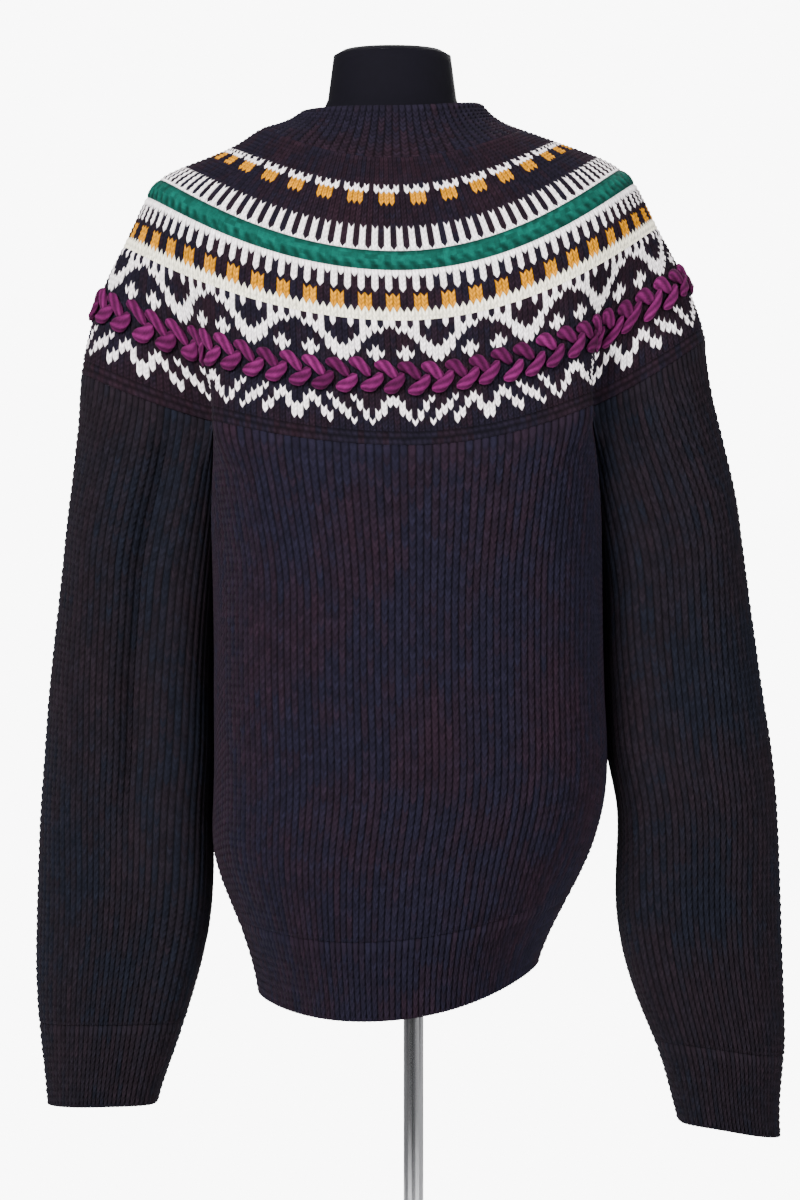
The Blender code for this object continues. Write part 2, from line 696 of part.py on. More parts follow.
def build_hem_band(collection, finish):
    """Ribbed welt round the hem."""
    columns = np.arange(BODY_COLUMNS) / BODY_COLUMNS
    wave = (np.arange(BODY_COLUMNS) % 2).astype(float)[None, :]
    if BODY_COLUMNS // 4 % 2:
        wave = 1.0 - wave
    outer = lifted(hem_surface, HEM_ROWS, columns, RIB_RISE * wave)
    inner = lifted(hem_surface, (0.0, 1.0), columns[::2], -WALL)
    wall(collection, "hem_band", outer, inner, True, finish)


def build_sleeve(collection, name, finish):
    """Ribbed sleeve and the cuff below it."""
    columns = np.arange(SLEEVE_COLUMNS) / SLEEVE_COLUMNS
    sign = 1.0 if name == "sleeve_right" else -1.0
    underarm = smooth(0.5 - UNDERARM_EDGE * sign * np.sin(columns * 2.0 * math.pi))
    surface = sleeve_surface(name)
    lift = rib_lift(SLEEVE_ROWS, columns, SLEEVE_LENGTH, underarm)
    outer = lifted(surface, SLEEVE_ROWS, columns, lift)
    inner = lifted(surface, SLEEVE_INNER_ROWS, columns, -WALL)
    inner[0, :, 2] = outer[0, :, 2]
    wall(collection, name, outer, inner, True, finish)
    cuff = cuff_surface(name)
    wave = (np.arange(SLEEVE_COLUMNS) % 2).astype(float)[None, :]
    outer = lifted(cuff, CUFF_ROWS, columns, RIB_RISE * wave)
    inner = lifted(cuff, (0.0, 1.0), columns[::2], -WALL)
    wall(collection, name.replace("sleeve", "cuff"), outer, inner, True, finish)


def form_rings(table, columns):
    """Smooth rings of the dress form from rows of its sizes."""
    rows = np.array(table)
    front = np.stack([rows[:, 4], rows[:, 0]], axis=1)
    side = np.stack([rows[:, 3], rows[:, 1]], axis=1)
    back = np.stack([rows[:, 5], rows[:, 2]], axis=1)
    return even_columns(saddle_ring(front, back, side, side, rows[:, 6], 2.15), columns)


def build_torso(collection, finish):
    """Limbless torso and neck; its shoulders follow the yoke's inside, a seat's gap below it."""
    columns = np.arange(TORSO_COLUMNS) / TORSO_COLUMNS
    ease = TORSO_FRONT_EASE * np.cos(columns * 2.0 * math.pi) ** 2
    under = WALL + SEAT_GAP + ease[None, :] + np.array(TORSO_FALL)[:, None]
    shoulders = lifted(yoke_surface, TORSO_SHOULDER_ROWS, columns, -under)
    rings = np.concatenate([form_rings(NECK_RINGS, columns), shoulders, form_rings(TORSO_RINGS, columns)])
    count = TORSO_COLUMNS
    faces = []
    for row in range(len(rings) - 1):
        for column in range(count):
            ahead = (column + 1) % count
            a = row * count
            b = a + count
            faces.append((a + column, b + column, b + ahead, a + ahead))
    faces.append(tuple(range(count)))
    faces.append(tuple(reversed(range((len(rings) - 1) * count, len(rings) * count))))
    add_object(collection, "form_torso", rings.reshape(-1, 3).tolist(), faces, finish, 60)


def build_stand(collection, pole_finish, base_finish):
    """Round pole under the torso, and a turned plate with a socket for it."""
    low = SOCKET_HEIGHT + SEAM_GAP
    high = TORSO_RINGS[-1][0] - SEAM_GAP
    bpy.ops.mesh.primitive_cylinder_add(
        vertices=32, radius=POLE_RADIUS, depth=high - low, location=(0.0, 0.0, (high + low) / 2.0)
    )
    pole = bpy.context.object
    pole.name = "stand_pole"
    pole.data.materials.append(pole_finish)
    pole.data.shade_smooth()
    pole.data.set_sharp_from_angle(angle=math.radians(40))
    for owner in list(pole.users_collection):
        owner.objects.unlink(pole)
    collection.objects.link(pole)
    profile = (
        (0.0, SOCKET_HEIGHT),
        (SOCKET_RADIUS - BASE_EDGE, SOCKET_HEIGHT),
        (SOCKET_RADIUS, SOCKET_HEIGHT - BASE_EDGE),
        (SOCKET_RADIUS, BASE_THICKNESS),
        (BASE_RADIUS - BASE_EDGE, BASE_THICKNESS),
        (BASE_RADIUS, BASE_THICKNESS - BASE_EDGE),
        (BASE_RADIUS, 0.0),
        (0.0, 0.0),
    )
    mesh = bpy.data.meshes.new("stand_base")
    mesh.from_pydata([(r, 0.0, z) for r, z in profile], [(i, i + 1) for i in range(len(profile) - 1)], [])
    mesh.materials.append(base_finish)
    base = bpy.data.objects.new("stand_base", mesh)
    collection.objects.link(base)
    turn = base.modifiers.new("turn", "SCREW")
    turn.steps = BASE_STEPS
    turn.render_steps = BASE_STEPS
    turn.use_merge_vertices = True
    turn.merge_threshold = 0.00005
    turn.use_smooth_shade = False


def main():
    """Clear the scene and build every piece."""
    for old in list(bpy.data.objects):
        bpy.data.objects.remove(old, do_unlink=True)
    collection = bpy.data.collections.new("sweater_on_form")
    bpy.context.scene.collection.children.link(collection)
    build_stand(
        collection,
        material("pole_chrome", CHROME, 0.12, 1.0),
        material("base_steel", STEEL, 0.35, 1.0),
    )
    build_torso(collection, material("form_cloth", FORM_BLACK, 0.85, 0.0))
    wool = material("wool_aubergine", AUBERGINE, 0.95, 0.0)
    build_collar(collection, wool)
    build_yoke(collection, material("wool_yoke", YOKE_MIX, 0.95, 0.0))
    build_body(collection, wool)
    build_hem_band(collection, wool)
    for name in SLEEVE_SECTIONS:
        build_sleeve(collection, name, wool)


main()
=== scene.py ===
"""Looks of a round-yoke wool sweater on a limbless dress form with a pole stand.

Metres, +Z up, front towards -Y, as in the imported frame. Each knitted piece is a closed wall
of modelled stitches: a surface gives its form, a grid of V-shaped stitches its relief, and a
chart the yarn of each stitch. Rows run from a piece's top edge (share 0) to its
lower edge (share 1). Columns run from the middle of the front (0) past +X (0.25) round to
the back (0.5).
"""

import logging
import math
from dataclasses import dataclass
from enum import Enum
from typing import Callable

import bmesh
import bpy
import numpy as np
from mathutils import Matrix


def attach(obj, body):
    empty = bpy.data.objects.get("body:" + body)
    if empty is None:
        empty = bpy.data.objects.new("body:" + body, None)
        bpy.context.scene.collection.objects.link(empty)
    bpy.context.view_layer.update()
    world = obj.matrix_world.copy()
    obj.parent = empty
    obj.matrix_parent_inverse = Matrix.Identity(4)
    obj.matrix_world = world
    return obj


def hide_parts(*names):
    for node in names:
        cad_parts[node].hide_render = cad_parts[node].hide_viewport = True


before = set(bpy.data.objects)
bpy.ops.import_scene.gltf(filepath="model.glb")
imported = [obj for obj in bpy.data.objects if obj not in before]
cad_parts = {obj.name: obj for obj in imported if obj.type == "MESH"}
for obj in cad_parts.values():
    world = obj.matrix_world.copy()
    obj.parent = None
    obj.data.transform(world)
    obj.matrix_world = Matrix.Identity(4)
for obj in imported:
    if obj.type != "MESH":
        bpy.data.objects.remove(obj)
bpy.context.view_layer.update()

LOG = logging.getLogger("sweater")
Surface = Callable[[np.ndarray, np.ndarray], np.ndarray]

BODY = "root"
WALL = 0.0030
# points of a dense ring, and the small steps over which slopes are taken
DENSE = 720
TURN_STEP = 0.008
ROW_STEP = 1e-4
# fullness and shade of single stitches: the least share, and the range above it
UNEVEN_FROM = 0.82
UNEVEN_RANGE = 0.36


class Tone(Enum):
    """Yarns of the sweater, as linear colours."""

    AUBERGINE = (0.0104, 0.0064, 0.0122)
    NAVY = (0.0074, 0.0066, 0.0144)
    PLUM = (0.0127, 0.0066, 0.0121)
    WHITE = (0.9300, 0.8600, 0.8800)
    CREAM = (0.9400, 0.8800, 0.7000)
    GREEN = (0.0030, 0.0550, 0.0410)
    YELLOW = (0.5200, 0.2050, 0.0002)
    MAGENTA = (0.0900, 0.0075, 0.0560)


class Stitch(Enum):
    """How a row of stitches is worked."""

    KNIT = "smooth V-shaped stitches"
    PURL = "bumps that lie across"
    WELT = "a raised band of bumps"


def smooth(share: np.ndarray) -> np.ndarray:
    """Ease from 0 to 1 with level ends: the square of the share times three less twice it."""
    share = np.clip(share, 0.0, 1.0)
    return share * share * (3.0 - 2.0 * share)


def spline(knots: np.ndarray, values: np.ndarray, at: np.ndarray) -> np.ndarray:
    """Natural cubic spline: pieces of third degree whose slopes and bends meet at the knots.

    Args:
        knots: Rising places of the values.
        values: One row of values for each knot.
        at: Places to read, of any shape.

    Returns:
        The values at those places, with the values' columns as the last axis.
    """
    knots = np.asarray(knots, float)
    values = np.asarray(values, float)
    count = len(knots)
    steps = np.diff(knots)
    slopes = np.diff(values, axis=0) / steps[:, None]
    inside = np.arange(1, count - 1)
    system = np.eye(count)
    system[inside, inside - 1] = steps[:-1]
    system[inside, inside] = 2.0 * (steps[:-1] + steps[1:])
    system[inside, inside + 1] = steps[1:]
    wanted = np.zeros_like(values)
    wanted[1:-1] = 6.0 * np.diff(slopes, axis=0)
    bends = np.linalg.solve(system, wanted)
    at = np.clip(np.asarray(at, float), knots[0], knots[-1])
    cell = np.clip(np.searchsorted(knots, at, side="right") - 1, 0, count - 2)
    step = steps[cell][..., None]
    left = ((knots[cell + 1] - at) / steps[cell])[..., None]
    right = 1.0 - left
    cubic = (left**3 - left) * bends[cell] + (right**3 - right) * bends[cell + 1]
    return left * values[cell] + right * values[cell + 1] + cubic * step**2 / 6.0


def polar_reach(
    angle: np.ndarray, half_width: np.ndarray, depth: np.ndarray, power: np.ndarray
) -> np.ndarray:
    """Reach of a superellipse at an angle from the front.

    The sine over the half width and the cosine over the depth, each to the power, are
    added, and the reach is their sum to minus one over the power.
    """
    across = np.abs(np.sin(angle)) / half_width
    along = np.abs(np.cos(angle)) / depth
    return (across**power + along**power) ** (-1.0 / power)


def normals(surface: Surface, rows: np.ndarray, columns: np.ndarray) -> np.ndarray:
    """Outward unit normals of a surface: its run downwards crossed with its run around.

    Args:
        surface: The surface's function.
        rows: Shares of its length.
        columns: Shares of its girth.

    Returns:
        One unit vector for each row and column.
    """
    around = surface(rows, columns + TURN_STEP) - surface(rows, columns - TURN_STEP)
    below = surface(np.minimum(rows + ROW_STEP, 1.0), columns)
    above = surface(np.maximum(rows - ROW_STEP, -1.0), columns)
    normal = np.cross(below - above, around)
    return normal / np.linalg.norm(normal, axis=2, keepdims=True)


@dataclass
class Cut:
    """The sweater's form: its sizes, and the surface of each knitted piece."""

    yoke_depth_side: float = 0.2470
    yoke_slip: float = 0.055
    yoke_lean: float = 0.008
    yoke_power_top: float = 2.2
    yoke_power_edge: float = 2.0
    neck_x: float = -0.0170
    yoke_edge_x: float = -0.0050
    edge_gap: float = 0.0002
    valley_gap: float = 0.0002
    sleeve_seam_gap: float = 0.0003
    arm_gap: float = 0.0010
    valley_share: float = 0.2
    side_gap: float = 0.0003
    clear_fade: float = 0.0350
    # first and last of the columns down the body's side that keep a sleeve clear, their
    # number, and the points in each
    side_columns: tuple = (0.21, 0.29, 9)
    side_steps: int = 61
    arm_ease: float = 0.05
    front_valley: float = 20 / 128
    back_valley: float = 44 / 128
    front_valley_angle: float = 65.2
    back_valley_angle: float = 115.2
    body_valley: float = 24 / 144
    sleeve_valley: float = 0.10
    valley_spread: float = 0.03
    underarm_height: float = 0.9150
    underarm_power: float = 1.6
    seam_gap: float = 0.0003
    body_fade: float = 0.1300
    sleeve_fade: float = 0.1400
    corner_fade: float = 0.0450
    corner_spread: float = 0.06
    hem_band: float = 0.0620
    hem_side_height: float = 0.5600
    hem_tilt: float = 0.0120
    hem_front_drop: float = 0.0240
    hem_back_drop: float = 0.0150
    cuff_band: float = 0.0650
    # reach from the middle, height
    front_profile: tuple = (
        (0.0620, 1.2480),
        (0.0705, 1.2260),
        (0.0850, 1.2040),
        (0.1030, 1.1630),
        (0.1160, 1.1250),
        (0.1245, 1.0800),
        (0.1300, 1.0300),
        (0.1320, 0.9786),
    )
    side_profile: tuple = (
        (0.0710, 1.2560),
        (0.0830, 1.2440),
        (0.1050, 1.2340),
        (0.1440, 1.2200),
        (0.1730, 1.2080),
        (0.1900, 1.1940),
        (0.1990, 1.1780),
        (0.2130, 1.1490),
        (0.2280, 1.1200),
        (0.2430, 1.0800),
        (0.2500, 1.0525),
        (0.2535, 1.0350),
    )
    left_profile: tuple = (
        (0.0710, 1.2500),
        (0.0840, 1.2420),
        (0.1050, 1.2350),
        (0.1190, 1.2260),
        (0.1340, 1.2180),
        (0.1700, 1.2040),
        (0.1890, 1.1930),
        (0.1990, 1.1780),
        (0.2130, 1.1490),
        (0.2280, 1.1200),
        (0.2430, 1.0800),
        (0.2500, 1.0525),
        (0.2535, 1.0350),
    )
    back_profile: tuple = (
        (0.0620, 1.2600),
        (0.0680, 1.2430),
        (0.0780, 1.2260),
        (0.1000, 1.1800),
        (0.1150, 1.1250),
        (0.1210, 1.0650),
        (0.1235, 1.0030),
    )
    collar_base: int = 2
    # angle from the front, depth, half width of the fold, share of the yoke where it starts
    yoke_folds: tuple = (
        (66.5, 0.0440, 8.5, 0.50),
        (114.0, 0.0400, 8.5, 0.50),
        (246.0, 0.0400, 8.5, 0.50),
        (293.5, 0.0460, 8.0, 0.48),
        (283.0, 0.0050, 3.5, 0.42),
    )
    # half width, front depth, back depth and power of the section that spaces the columns
    body_spacing: tuple = (0.1495, 0.1330, 0.1250, 3.0)
    sleeve_spacing: tuple = (0.061, 0.058, 0.058, 2.3)
    # height, middle x, half width, front depth, back depth, power
    body_sections: tuple = (
        (1.0400, -0.0045, 0.1510, 0.1310, 0.1235, 3.4),
        (0.9000, -0.0036, 0.1535, 0.1330, 0.1250, 3.2),
        (0.7800, -0.0033, 0.1552, 0.1340, 0.1260, 3.0),
        (0.7000, -0.0040, 0.1552, 0.1320, 0.1240, 2.9),
        (0.6600, -0.0095, 0.1490, 0.1295, 0.1210, 2.7),
        (0.6200, -0.0125, 0.1325, 0.1250, 0.1160, 2.5),
        (0.5800, -0.0145, 0.1160, 0.1180, 0.1100, 2.3),
        (0.5400, -0.0145, 0.1080, 0.1120, 0.1050, 2.2),
        (0.5200, -0.0145, 0.1070, 0.1110, 0.1040, 2.2),
    )
    # height, middle x, middle y, half width, half depth, power
    right_sections: tuple = (
        (1.0600, 0.1945, 0.0000, 0.0500, 0.0660, 3.20),
        (0.9400, 0.2038, 0.0000, 0.0532, 0.0640, 2.70),
        (0.8600, 0.2095, 0.0000, 0.0581, 0.0610, 2.40),
        (0.8200, 0.2119, -0.0010, 0.0612, 0.0595, 2.35),
        (0.7800, 0.2158, -0.0020, 0.0631, 0.0580, 2.30),
        (0.7350, 0.2206, -0.0030, 0.0651, 0.0560, 2.27),
        (0.7000, 0.2256, -0.0040, 0.0632, 0.0540, 2.25),
        (0.6200, 0.2275, -0.0060, 0.0645, 0.0500, 2.20),
        (0.5400, 0.2376, -0.0080, 0.0570, 0.0440, 2.20),
        (0.5000, 0.2456, -0.0090, 0.0490, 0.0400, 2.20),
        (0.4600, 0.2495, -0.0100, 0.0415, 0.0360, 2.20),
        (0.4250, 0.2545, -0.0100, 0.0375, 0.0340, 2.20),
    )
    left_sections: tuple = (
        (1.0600, -0.2090, 0.0000, 0.0540, 0.0660, 3.20),
        (0.9400, -0.2157, 0.0000, 0.0583, 0.0640, 2.70),
        (0.8600, -0.2203, 0.0000, 0.0620, 0.0610, 2.40),
        (0.7800, -0.2250, -0.0020, 0.0657, 0.0580, 2.30),
        (0.7400, -0.2261, -0.0030, 0.0674, 0.0560, 2.27),
        (0.7000, -0.2283, -0.0040, 0.0680, 0.0540, 2.25),
        (0.6600, -0.2291, -0.0050, 0.0691, 0.0520, 2.22),
        (0.6200, -0.2304, -0.0060, 0.0690, 0.0500, 2.20),
        (0.5400, -0.2390, -0.0080, 0.0600, 0.0440, 2.20),
        (0.5000, -0.2435, -0.0090, 0.0515, 0.0400, 2.20),
        (0.4600, -0.2480, -0.0100, 0.0430, 0.0360, 2.20),
        (0.4250, -0.2500, -0.0100, 0.0400, 0.0340, 2.20),
    )
    # power of the side of a sleeve that lies flat against the body
    sleeve_inner_power: float = 3.8
    # height of the cuff's edge at its middle, and how much lower it lies on the outer side
    right_cuff: tuple = (0.4400, 0.0070)
    left_cuff: tuple = (0.4600, 0.0010)
    # share of a fold's length over which it grows from its foot
    fold_growth: float = 0.25
    # columns from the front towards the outer side, depth, half width, top and foot heights
    right_folds: tuple = (
        (-0.020, 0.0060, 0.030, 1.0000, 0.7000),
        (0.430, 0.0060, 0.034, 1.0000, 0.6400),
    )
    left_folds: tuple = (
        (-0.015, 0.0110, 0.028, 1.0400, 0.6500),
        (0.450, 0.0070, 0.034, 1.0200, 0.6400),
    )

    def anchors(self) -> np.ndarray:
        """Angle from the front in degrees and column of the ring, at each fixed place."""
        front = (self.front_valley_angle, self.front_valley)
        back = (self.back_valley_angle, self.back_valley)
        half = [(0.0, 0.0), front, back, (180.0, 0.5)]
        mirrored = [(360.0 - angle, 1.0 - column) for angle, column in reversed(half[:-1])]
        return np.array(half + mirrored)

    def read_profile(
        self, profile: tuple, share: np.ndarray, depth: float = 0.0, stretch: float = 1.0
    ) -> np.ndarray:
        """Reach and height along a profile, by its length below the collar's foot.

        Args:
            profile: Reach and height of its points, from the collar's top down.
            share: Share of the yoke (0 to 1), or of the collar above it (-1 to 0).
            depth: Length of the yoke there, or 0 for the profile's own.
            stretch: Factor on that length.

        Returns:
            Reach and height for each share.
        """
        points = np.array(profile)
        steps = np.linalg.norm(np.diff(points, axis=0), axis=1)
        lengths = np.concatenate([[0.0], np.cumsum(steps)])
        base = lengths[self.collar_base]
        depth = depth or lengths[-1] - base
        place = np.where(share < 0.0, base * (1.0 + share), base + share * depth * stretch)
        return spline(lengths, points, place)

    def even_columns(self, points: np.ndarray, columns: np.ndarray) -> np.ndarray:
        """Read closed rings at columns that lie evenly between the ring's fixed places.

        Args:
            points: Dense rings, evenly spaced by angle.
            columns: Columns to read.

        Returns:
            One point for each ring and column.
        """
        anchors = self.anchors()
        stations = np.round(anchors[:, 0] / 360.0 * (points.shape[1] - 1)).astype(int)
        columns = np.mod(columns, 1.0)
        read = np.empty((len(points), len(columns), 3))
        for ring, line in enumerate(points):
            ahead = np.linalg.norm(np.diff(line, axis=0), axis=1)
            run = np.concatenate([[0.0], np.cumsum(ahead)])
            place = np.interp(columns, anchors[:, 1], run[stations])
            for axis in range(3):
                read[ring, :, axis] = np.interp(place, run, line[:, axis])
        return read

    def saddle_ring(
        self,
        front: np.ndarray,
        back: np.ndarray,
        right: np.ndarray,
        left: np.ndarray,
        middle: np.ndarray,
        power: np.ndarray,
        folds: Callable | None = None,
    ) -> np.ndarray:
        """Dense rings whose height follows the square of how far out a point lies.

        Args:
            front: Reach and height of each ring in front, and so for back, right and left.
            back: As front, behind.
            right: As front, at +X.
            left: As front, at -X.
            middle: X of each ring's middle.
            power: Power of each ring's superellipse.
            folds: Depth of the folds at an angle.

        Returns:
            Points of every ring, evenly spaced by angle.
        """
        angle = np.linspace(0.0, 2.0 * math.pi, DENSE + 1)[None, :]
        on_right = np.sin(angle) >= 0.0
        on_front = np.cos(angle) >= 0.0
        half_width = np.where(on_right, right[:, :1], left[:, :1])
        depth = np.where(on_front, front[:, :1], back[:, :1])
        side_height = np.where(on_right, right[:, 1:], left[:, 1:])
        mid_height = np.where(on_front, front[:, 1:], back[:, 1:])
        reach = polar_reach(angle, half_width, depth, np.reshape(power, (-1, 1)))
        if folds is not None:
            reach = reach - folds(angle)
        out = np.clip(reach * np.abs(np.sin(angle)) / half_width, 0.0, 1.0)
        height = mid_height + (side_height - mid_height) * out**2
        x = middle[:, None] + reach * np.sin(angle)
        return np.stack([x, -reach * np.cos(angle), height], axis=2)

    def yoke(self, rows: np.ndarray, columns: np.ndarray) -> np.ndarray:
        """Yoke (rows 0 to 1) and collar (rows -1 to 0), as one surface of saddle-shaped rings.

        Args:
            rows: Shares of the length.
            columns: Shares of the girth.

        Returns:
            One point for each row and column.
        """
        rows = np.asarray(rows, float)
        down = np.clip(rows, 0.0, 1.0)
        slip = self.yoke_slip
        right = self.read_profile(self.side_profile, rows, self.yoke_depth_side, 1.0 - slip)
        left = self.read_profile(self.left_profile, rows, self.yoke_depth_side, 1.0 + slip)
        right[:, 0] -= self.yoke_lean * down
        left[:, 0] += self.yoke_lean * down

        def folds(angle: np.ndarray) -> np.ndarray:
            """Depth of the folds: bell curves over the angle that grow towards the edge.

            Args:
                angle: Angles from the front.

            Returns:
                One depth for each row and angle.
            """
            total = np.zeros((len(rows), angle.shape[1]))
            for degrees, depth, width, start in self.yoke_folds:
                grown = smooth((rows - start) / (1.0 - start))[:, None]
                off = (np.degrees(angle) - degrees) / width
                total += depth * grown * np.exp(-off * off)
            return total

        rings = self.saddle_ring(
            self.read_profile(self.front_profile, rows),
            self.read_profile(self.back_profile, rows),
            right,
            left,
            self.neck_x + (self.yoke_edge_x - self.neck_x) * down,
            self.yoke_power_top + (self.yoke_power_edge - self.yoke_power_top) * down,
            folds,
        )
        return self.even_columns(rings, columns)

    def collar(self, rows: np.ndarray, columns: np.ndarray) -> np.ndarray:
        """Collar from its top edge (0) to its foot (1)."""
        return self.yoke(np.asarray(rows, float) - 1.0, columns)

    def yoke_edge(self, columns: np.ndarray) -> np.ndarray:
        """The yoke's lower edge, dropped by the seam's gap, and a little more in the valleys.

        Args:
            columns: Shares of the girth.

        Returns:
            One point for each column.
        """
        edge = self.yoke(np.array([1.0]), columns)[0]
        near = np.mod(columns, 1.0)
        near = np.where(near > 0.5, 1.0 - near, near)
        from_valley = np.minimum(np.abs(near - self.front_valley), np.abs(near - self.back_valley))
        off = from_valley / self.valley_spread
        edge[:, 2] -= self.edge_gap + self.valley_gap * np.exp(-off * off)
        return edge

    @staticmethod
    def even_angles(
        columns: np.ndarray, half_width: float, front: float, back: float, power: float
    ) -> np.ndarray:
        """Angles of evenly spaced columns round a level superellipse.

        Args:
            columns: Shares of the girth.
            half_width: Its reach to the side.
            front: Its reach to the front.
            back: Its reach to the back.
            power: Its power.

        Returns:
            One angle for each column.
        """
        angle = np.linspace(0.0, 2.0 * math.pi, DENSE + 1)
        depth = np.where(np.cos(angle) >= 0.0, front, back)
        reach = polar_reach(angle, half_width, depth, power)
        line = np.stack([reach * np.sin(angle), -reach * np.cos(angle)], axis=1)
        steps = np.linalg.norm(np.diff(line, axis=0), axis=1)
        run = np.concatenate([[0.0], np.cumsum(steps)])
        half = DENSE // 2
        columns = np.mod(columns, 1.0)
        first = run[half] * columns * 2.0
        second = run[half] + (run[-1] - run[half]) * (columns * 2.0 - 1.0)
        return np.interp(np.where(columns < 0.5, first, second), run, angle)

    @staticmethod
    def table_read(table: tuple, heights: np.ndarray) -> np.ndarray:
        """Smooth values of a section table at any heights, one array for each column."""
        rows = np.array(table)[::-1]
        return np.moveaxis(spline(rows[:, 0], rows[:, 1:], heights), -1, 0)

    def body_section(self, columns: np.ndarray, heights: np.ndarray) -> np.ndarray:
        """Points of the body's level sections.

        Args:
            columns: Shares of the girth.
            heights: Height of each point, with columns along the last axis.

        Returns:
            One point for each height.
        """
        middle, half_width, front, back, power = self.table_read(self.body_sections, heights)
        angle = self.even_angles(columns, *self.body_spacing)
        depth = np.where(np.cos(angle) >= 0.0, front, back)
        reach = polar_reach(angle, half_width, depth, power)
        x = middle + reach * np.sin(angle)
        return np.stack([x, -reach * np.cos(angle), heights], axis=-1)

    def broad_part(self, values: Callable, columns: np.ndarray) -> np.ndarray:
        """A ring's values, averaged over nearby columns by a bell curve.

        Args:
            values: Function of the columns.
            columns: Columns to read.

        Returns:
            The average at each column.
        """
        circle = np.arange(DENSE // 3) / (DENSE // 3)
        apart = np.mod(np.asarray(columns)[:, None] - circle[None, :] + 0.5, 1.0) - 0.5
        weights = np.exp(-((apart / self.corner_spread) ** 2))
        return (weights / weights.sum(axis=1, keepdims=True)) @ values(circle)

    def fitted(
        self,
        section: Callable,
        top: Callable,
        rows: np.ndarray,
        columns: np.ndarray,
        feet: np.ndarray,
        fade: float,
    ) -> np.ndarray:
        """Level sections led up to a top edge: its broad part fades slowly, its corners soon.

        Args:
            section: Points of the level sections at columns and heights.
            top: Points of the top edge at columns.
            rows: Shares of the length.
            columns: Shares of the girth.
            feet: Height of the lower edge at each column.
            fade: Length over which the broad part fades.

        Returns:
            One point for each row and column.
        """

        def shift(ring: np.ndarray) -> np.ndarray:
            """How far the top edge lies from the section at its height."""
            edge = top(ring)
            return edge - section(ring, edge[:, 2])

        rows = np.asarray(rows, float)[:, None]
        edge = top(columns)
        heights = edge[None, :, 2] + (feet - edge[:, 2])[None, :] * rows
        below = edge[None, :, 2] - heights
        broad = self.broad_part(shift, columns)
        grid = section(np.broadcast_to(columns, heights.shape), heights)
        grid = grid + broad[None] * (1.0 - smooth(below / fade))[:, :, None]
        corners = (shift(columns) - broad)[None]
        return grid + corners * (1.0 - smooth(below / self.corner_fade))[:, :, None]

    def underarm_line(self, columns: np.ndarray) -> np.ndarray:
        """Seam under an arm: from the front valley down to the side and up to the back valley.

        Args:
            columns: Shares of the girth.

        Returns:
            One point for each column.
        """
        columns = np.mod(columns, 1.0)
        mirrored = columns > 0.5
        near = np.where(mirrored, 1.0 - columns, columns)
        at_back = near > 0.25
        valley = self.body_valley
        from_valley = np.where(at_back, 0.5 - near, near) - valley
        share = np.clip(from_valley / (0.25 - valley), 0.0, 1.0)
        start_column = np.where(at_back, self.back_valley, self.front_valley)
        start = self.yoke_edge(np.where(mirrored, 1.0 - start_column, start_column))
        side_column = np.where(mirrored, 0.75, 0.25)
        side = self.body_section(side_column, np.full_like(columns, self.underarm_height))
        line = start + (side - start) * share[:, None]
        rise = (1.0 - share) ** self.underarm_power
        line[:, 2] = side[:, 2] + (start[:, 2] - side[:, 2]) * rise
        return line

    def body_top(self, columns: np.ndarray) -> np.ndarray:
        """Top of the body: the yoke's edge in front and behind, the underarm seams between.

        Args:
            columns: Shares of the girth.

        Returns:
            One point for each column.
        """
        columns = np.mod(columns, 1.0)
        signed = np.where(columns > 0.5, columns - 1.0, columns)
        valley = self.body_valley
        on_front = signed / valley * self.front_valley
        on_back = 0.5 + (columns - 0.5) / valley * (0.5 - self.back_valley)
        edge = self.yoke_edge(np.where(np.abs(signed) < 0.25, on_front, on_back))
        under = np.abs(np.abs(signed) - 0.25) < 0.25 - valley
        return np.where(under[:, None], self.underarm_line(columns), edge)

    def hem_height(self, columns: np.ndarray) -> np.ndarray:
        """Height of the hem's edge: tilted to one side, lower in front and behind."""
        angle = np.mod(columns, 1.0) * 2.0 * math.pi
        drop = np.where(np.cos(angle) > 0.0, self.hem_front_drop, self.hem_back_drop)
        return self.hem_side_height + self.hem_tilt * np.sin(angle) - drop * np.cos(angle) ** 2

    def body(self, rows: np.ndarray, columns: np.ndarray) -> np.ndarray:
        """Body from its top edge (0) to the seam of the hem band (1)."""
        feet = self.hem_height(columns) + self.hem_band + self.seam_gap
        return self.fitted(self.body_section, self.body_top, rows, columns, feet, self.body_fade)

    def hem(self, rows: np.ndarray, columns: np.ndarray) -> np.ndarray:
        """Hem band from its seam (0) to its edge (1)."""
        rows = np.asarray(rows, float)[:, None]
        heights = self.hem_height(columns)[None, :] + self.hem_band * (1.0 - rows)
        return self.body_section(np.broadcast_to(columns, heights.shape), heights)

    def sleeve_section(
        self, right: bool, columns: np.ndarray, heights: np.ndarray
    ) -> np.ndarray:
        """Points of a sleeve's level sections, with its long folds pressed in.

        Args:
            right: True for the sleeve at +X.
            columns: Shares of the girth.
            heights: Height of each point.

        Returns:
            One point for each height.
        """
        table = self.right_sections if right else self.left_sections
        middle_x, middle_y, half_width, half_depth, power = self.table_read(table, heights)
        angle = self.even_angles(columns, *self.sleeve_spacing)
        inner = np.sin(angle) < 0.0 if right else np.sin(angle) > 0.0
        power = np.where(inner, np.maximum(power, self.sleeve_inner_power), power)
        reach = polar_reach(angle, half_width, half_depth, power)
        outward = columns if right else -columns
        for place, depth, width, top, foot in self.right_folds if right else self.left_folds:
            off = (np.mod(outward - place + 0.5, 1.0) - 0.5) / width
            grown = smooth((heights - foot) / (self.fold_growth * (top - foot)))
            reach = reach - depth * grown * np.exp(-off * off)
        x = middle_x + reach * np.sin(angle)
        return np.stack([x, middle_y - reach * np.cos(angle), heights], axis=-1)

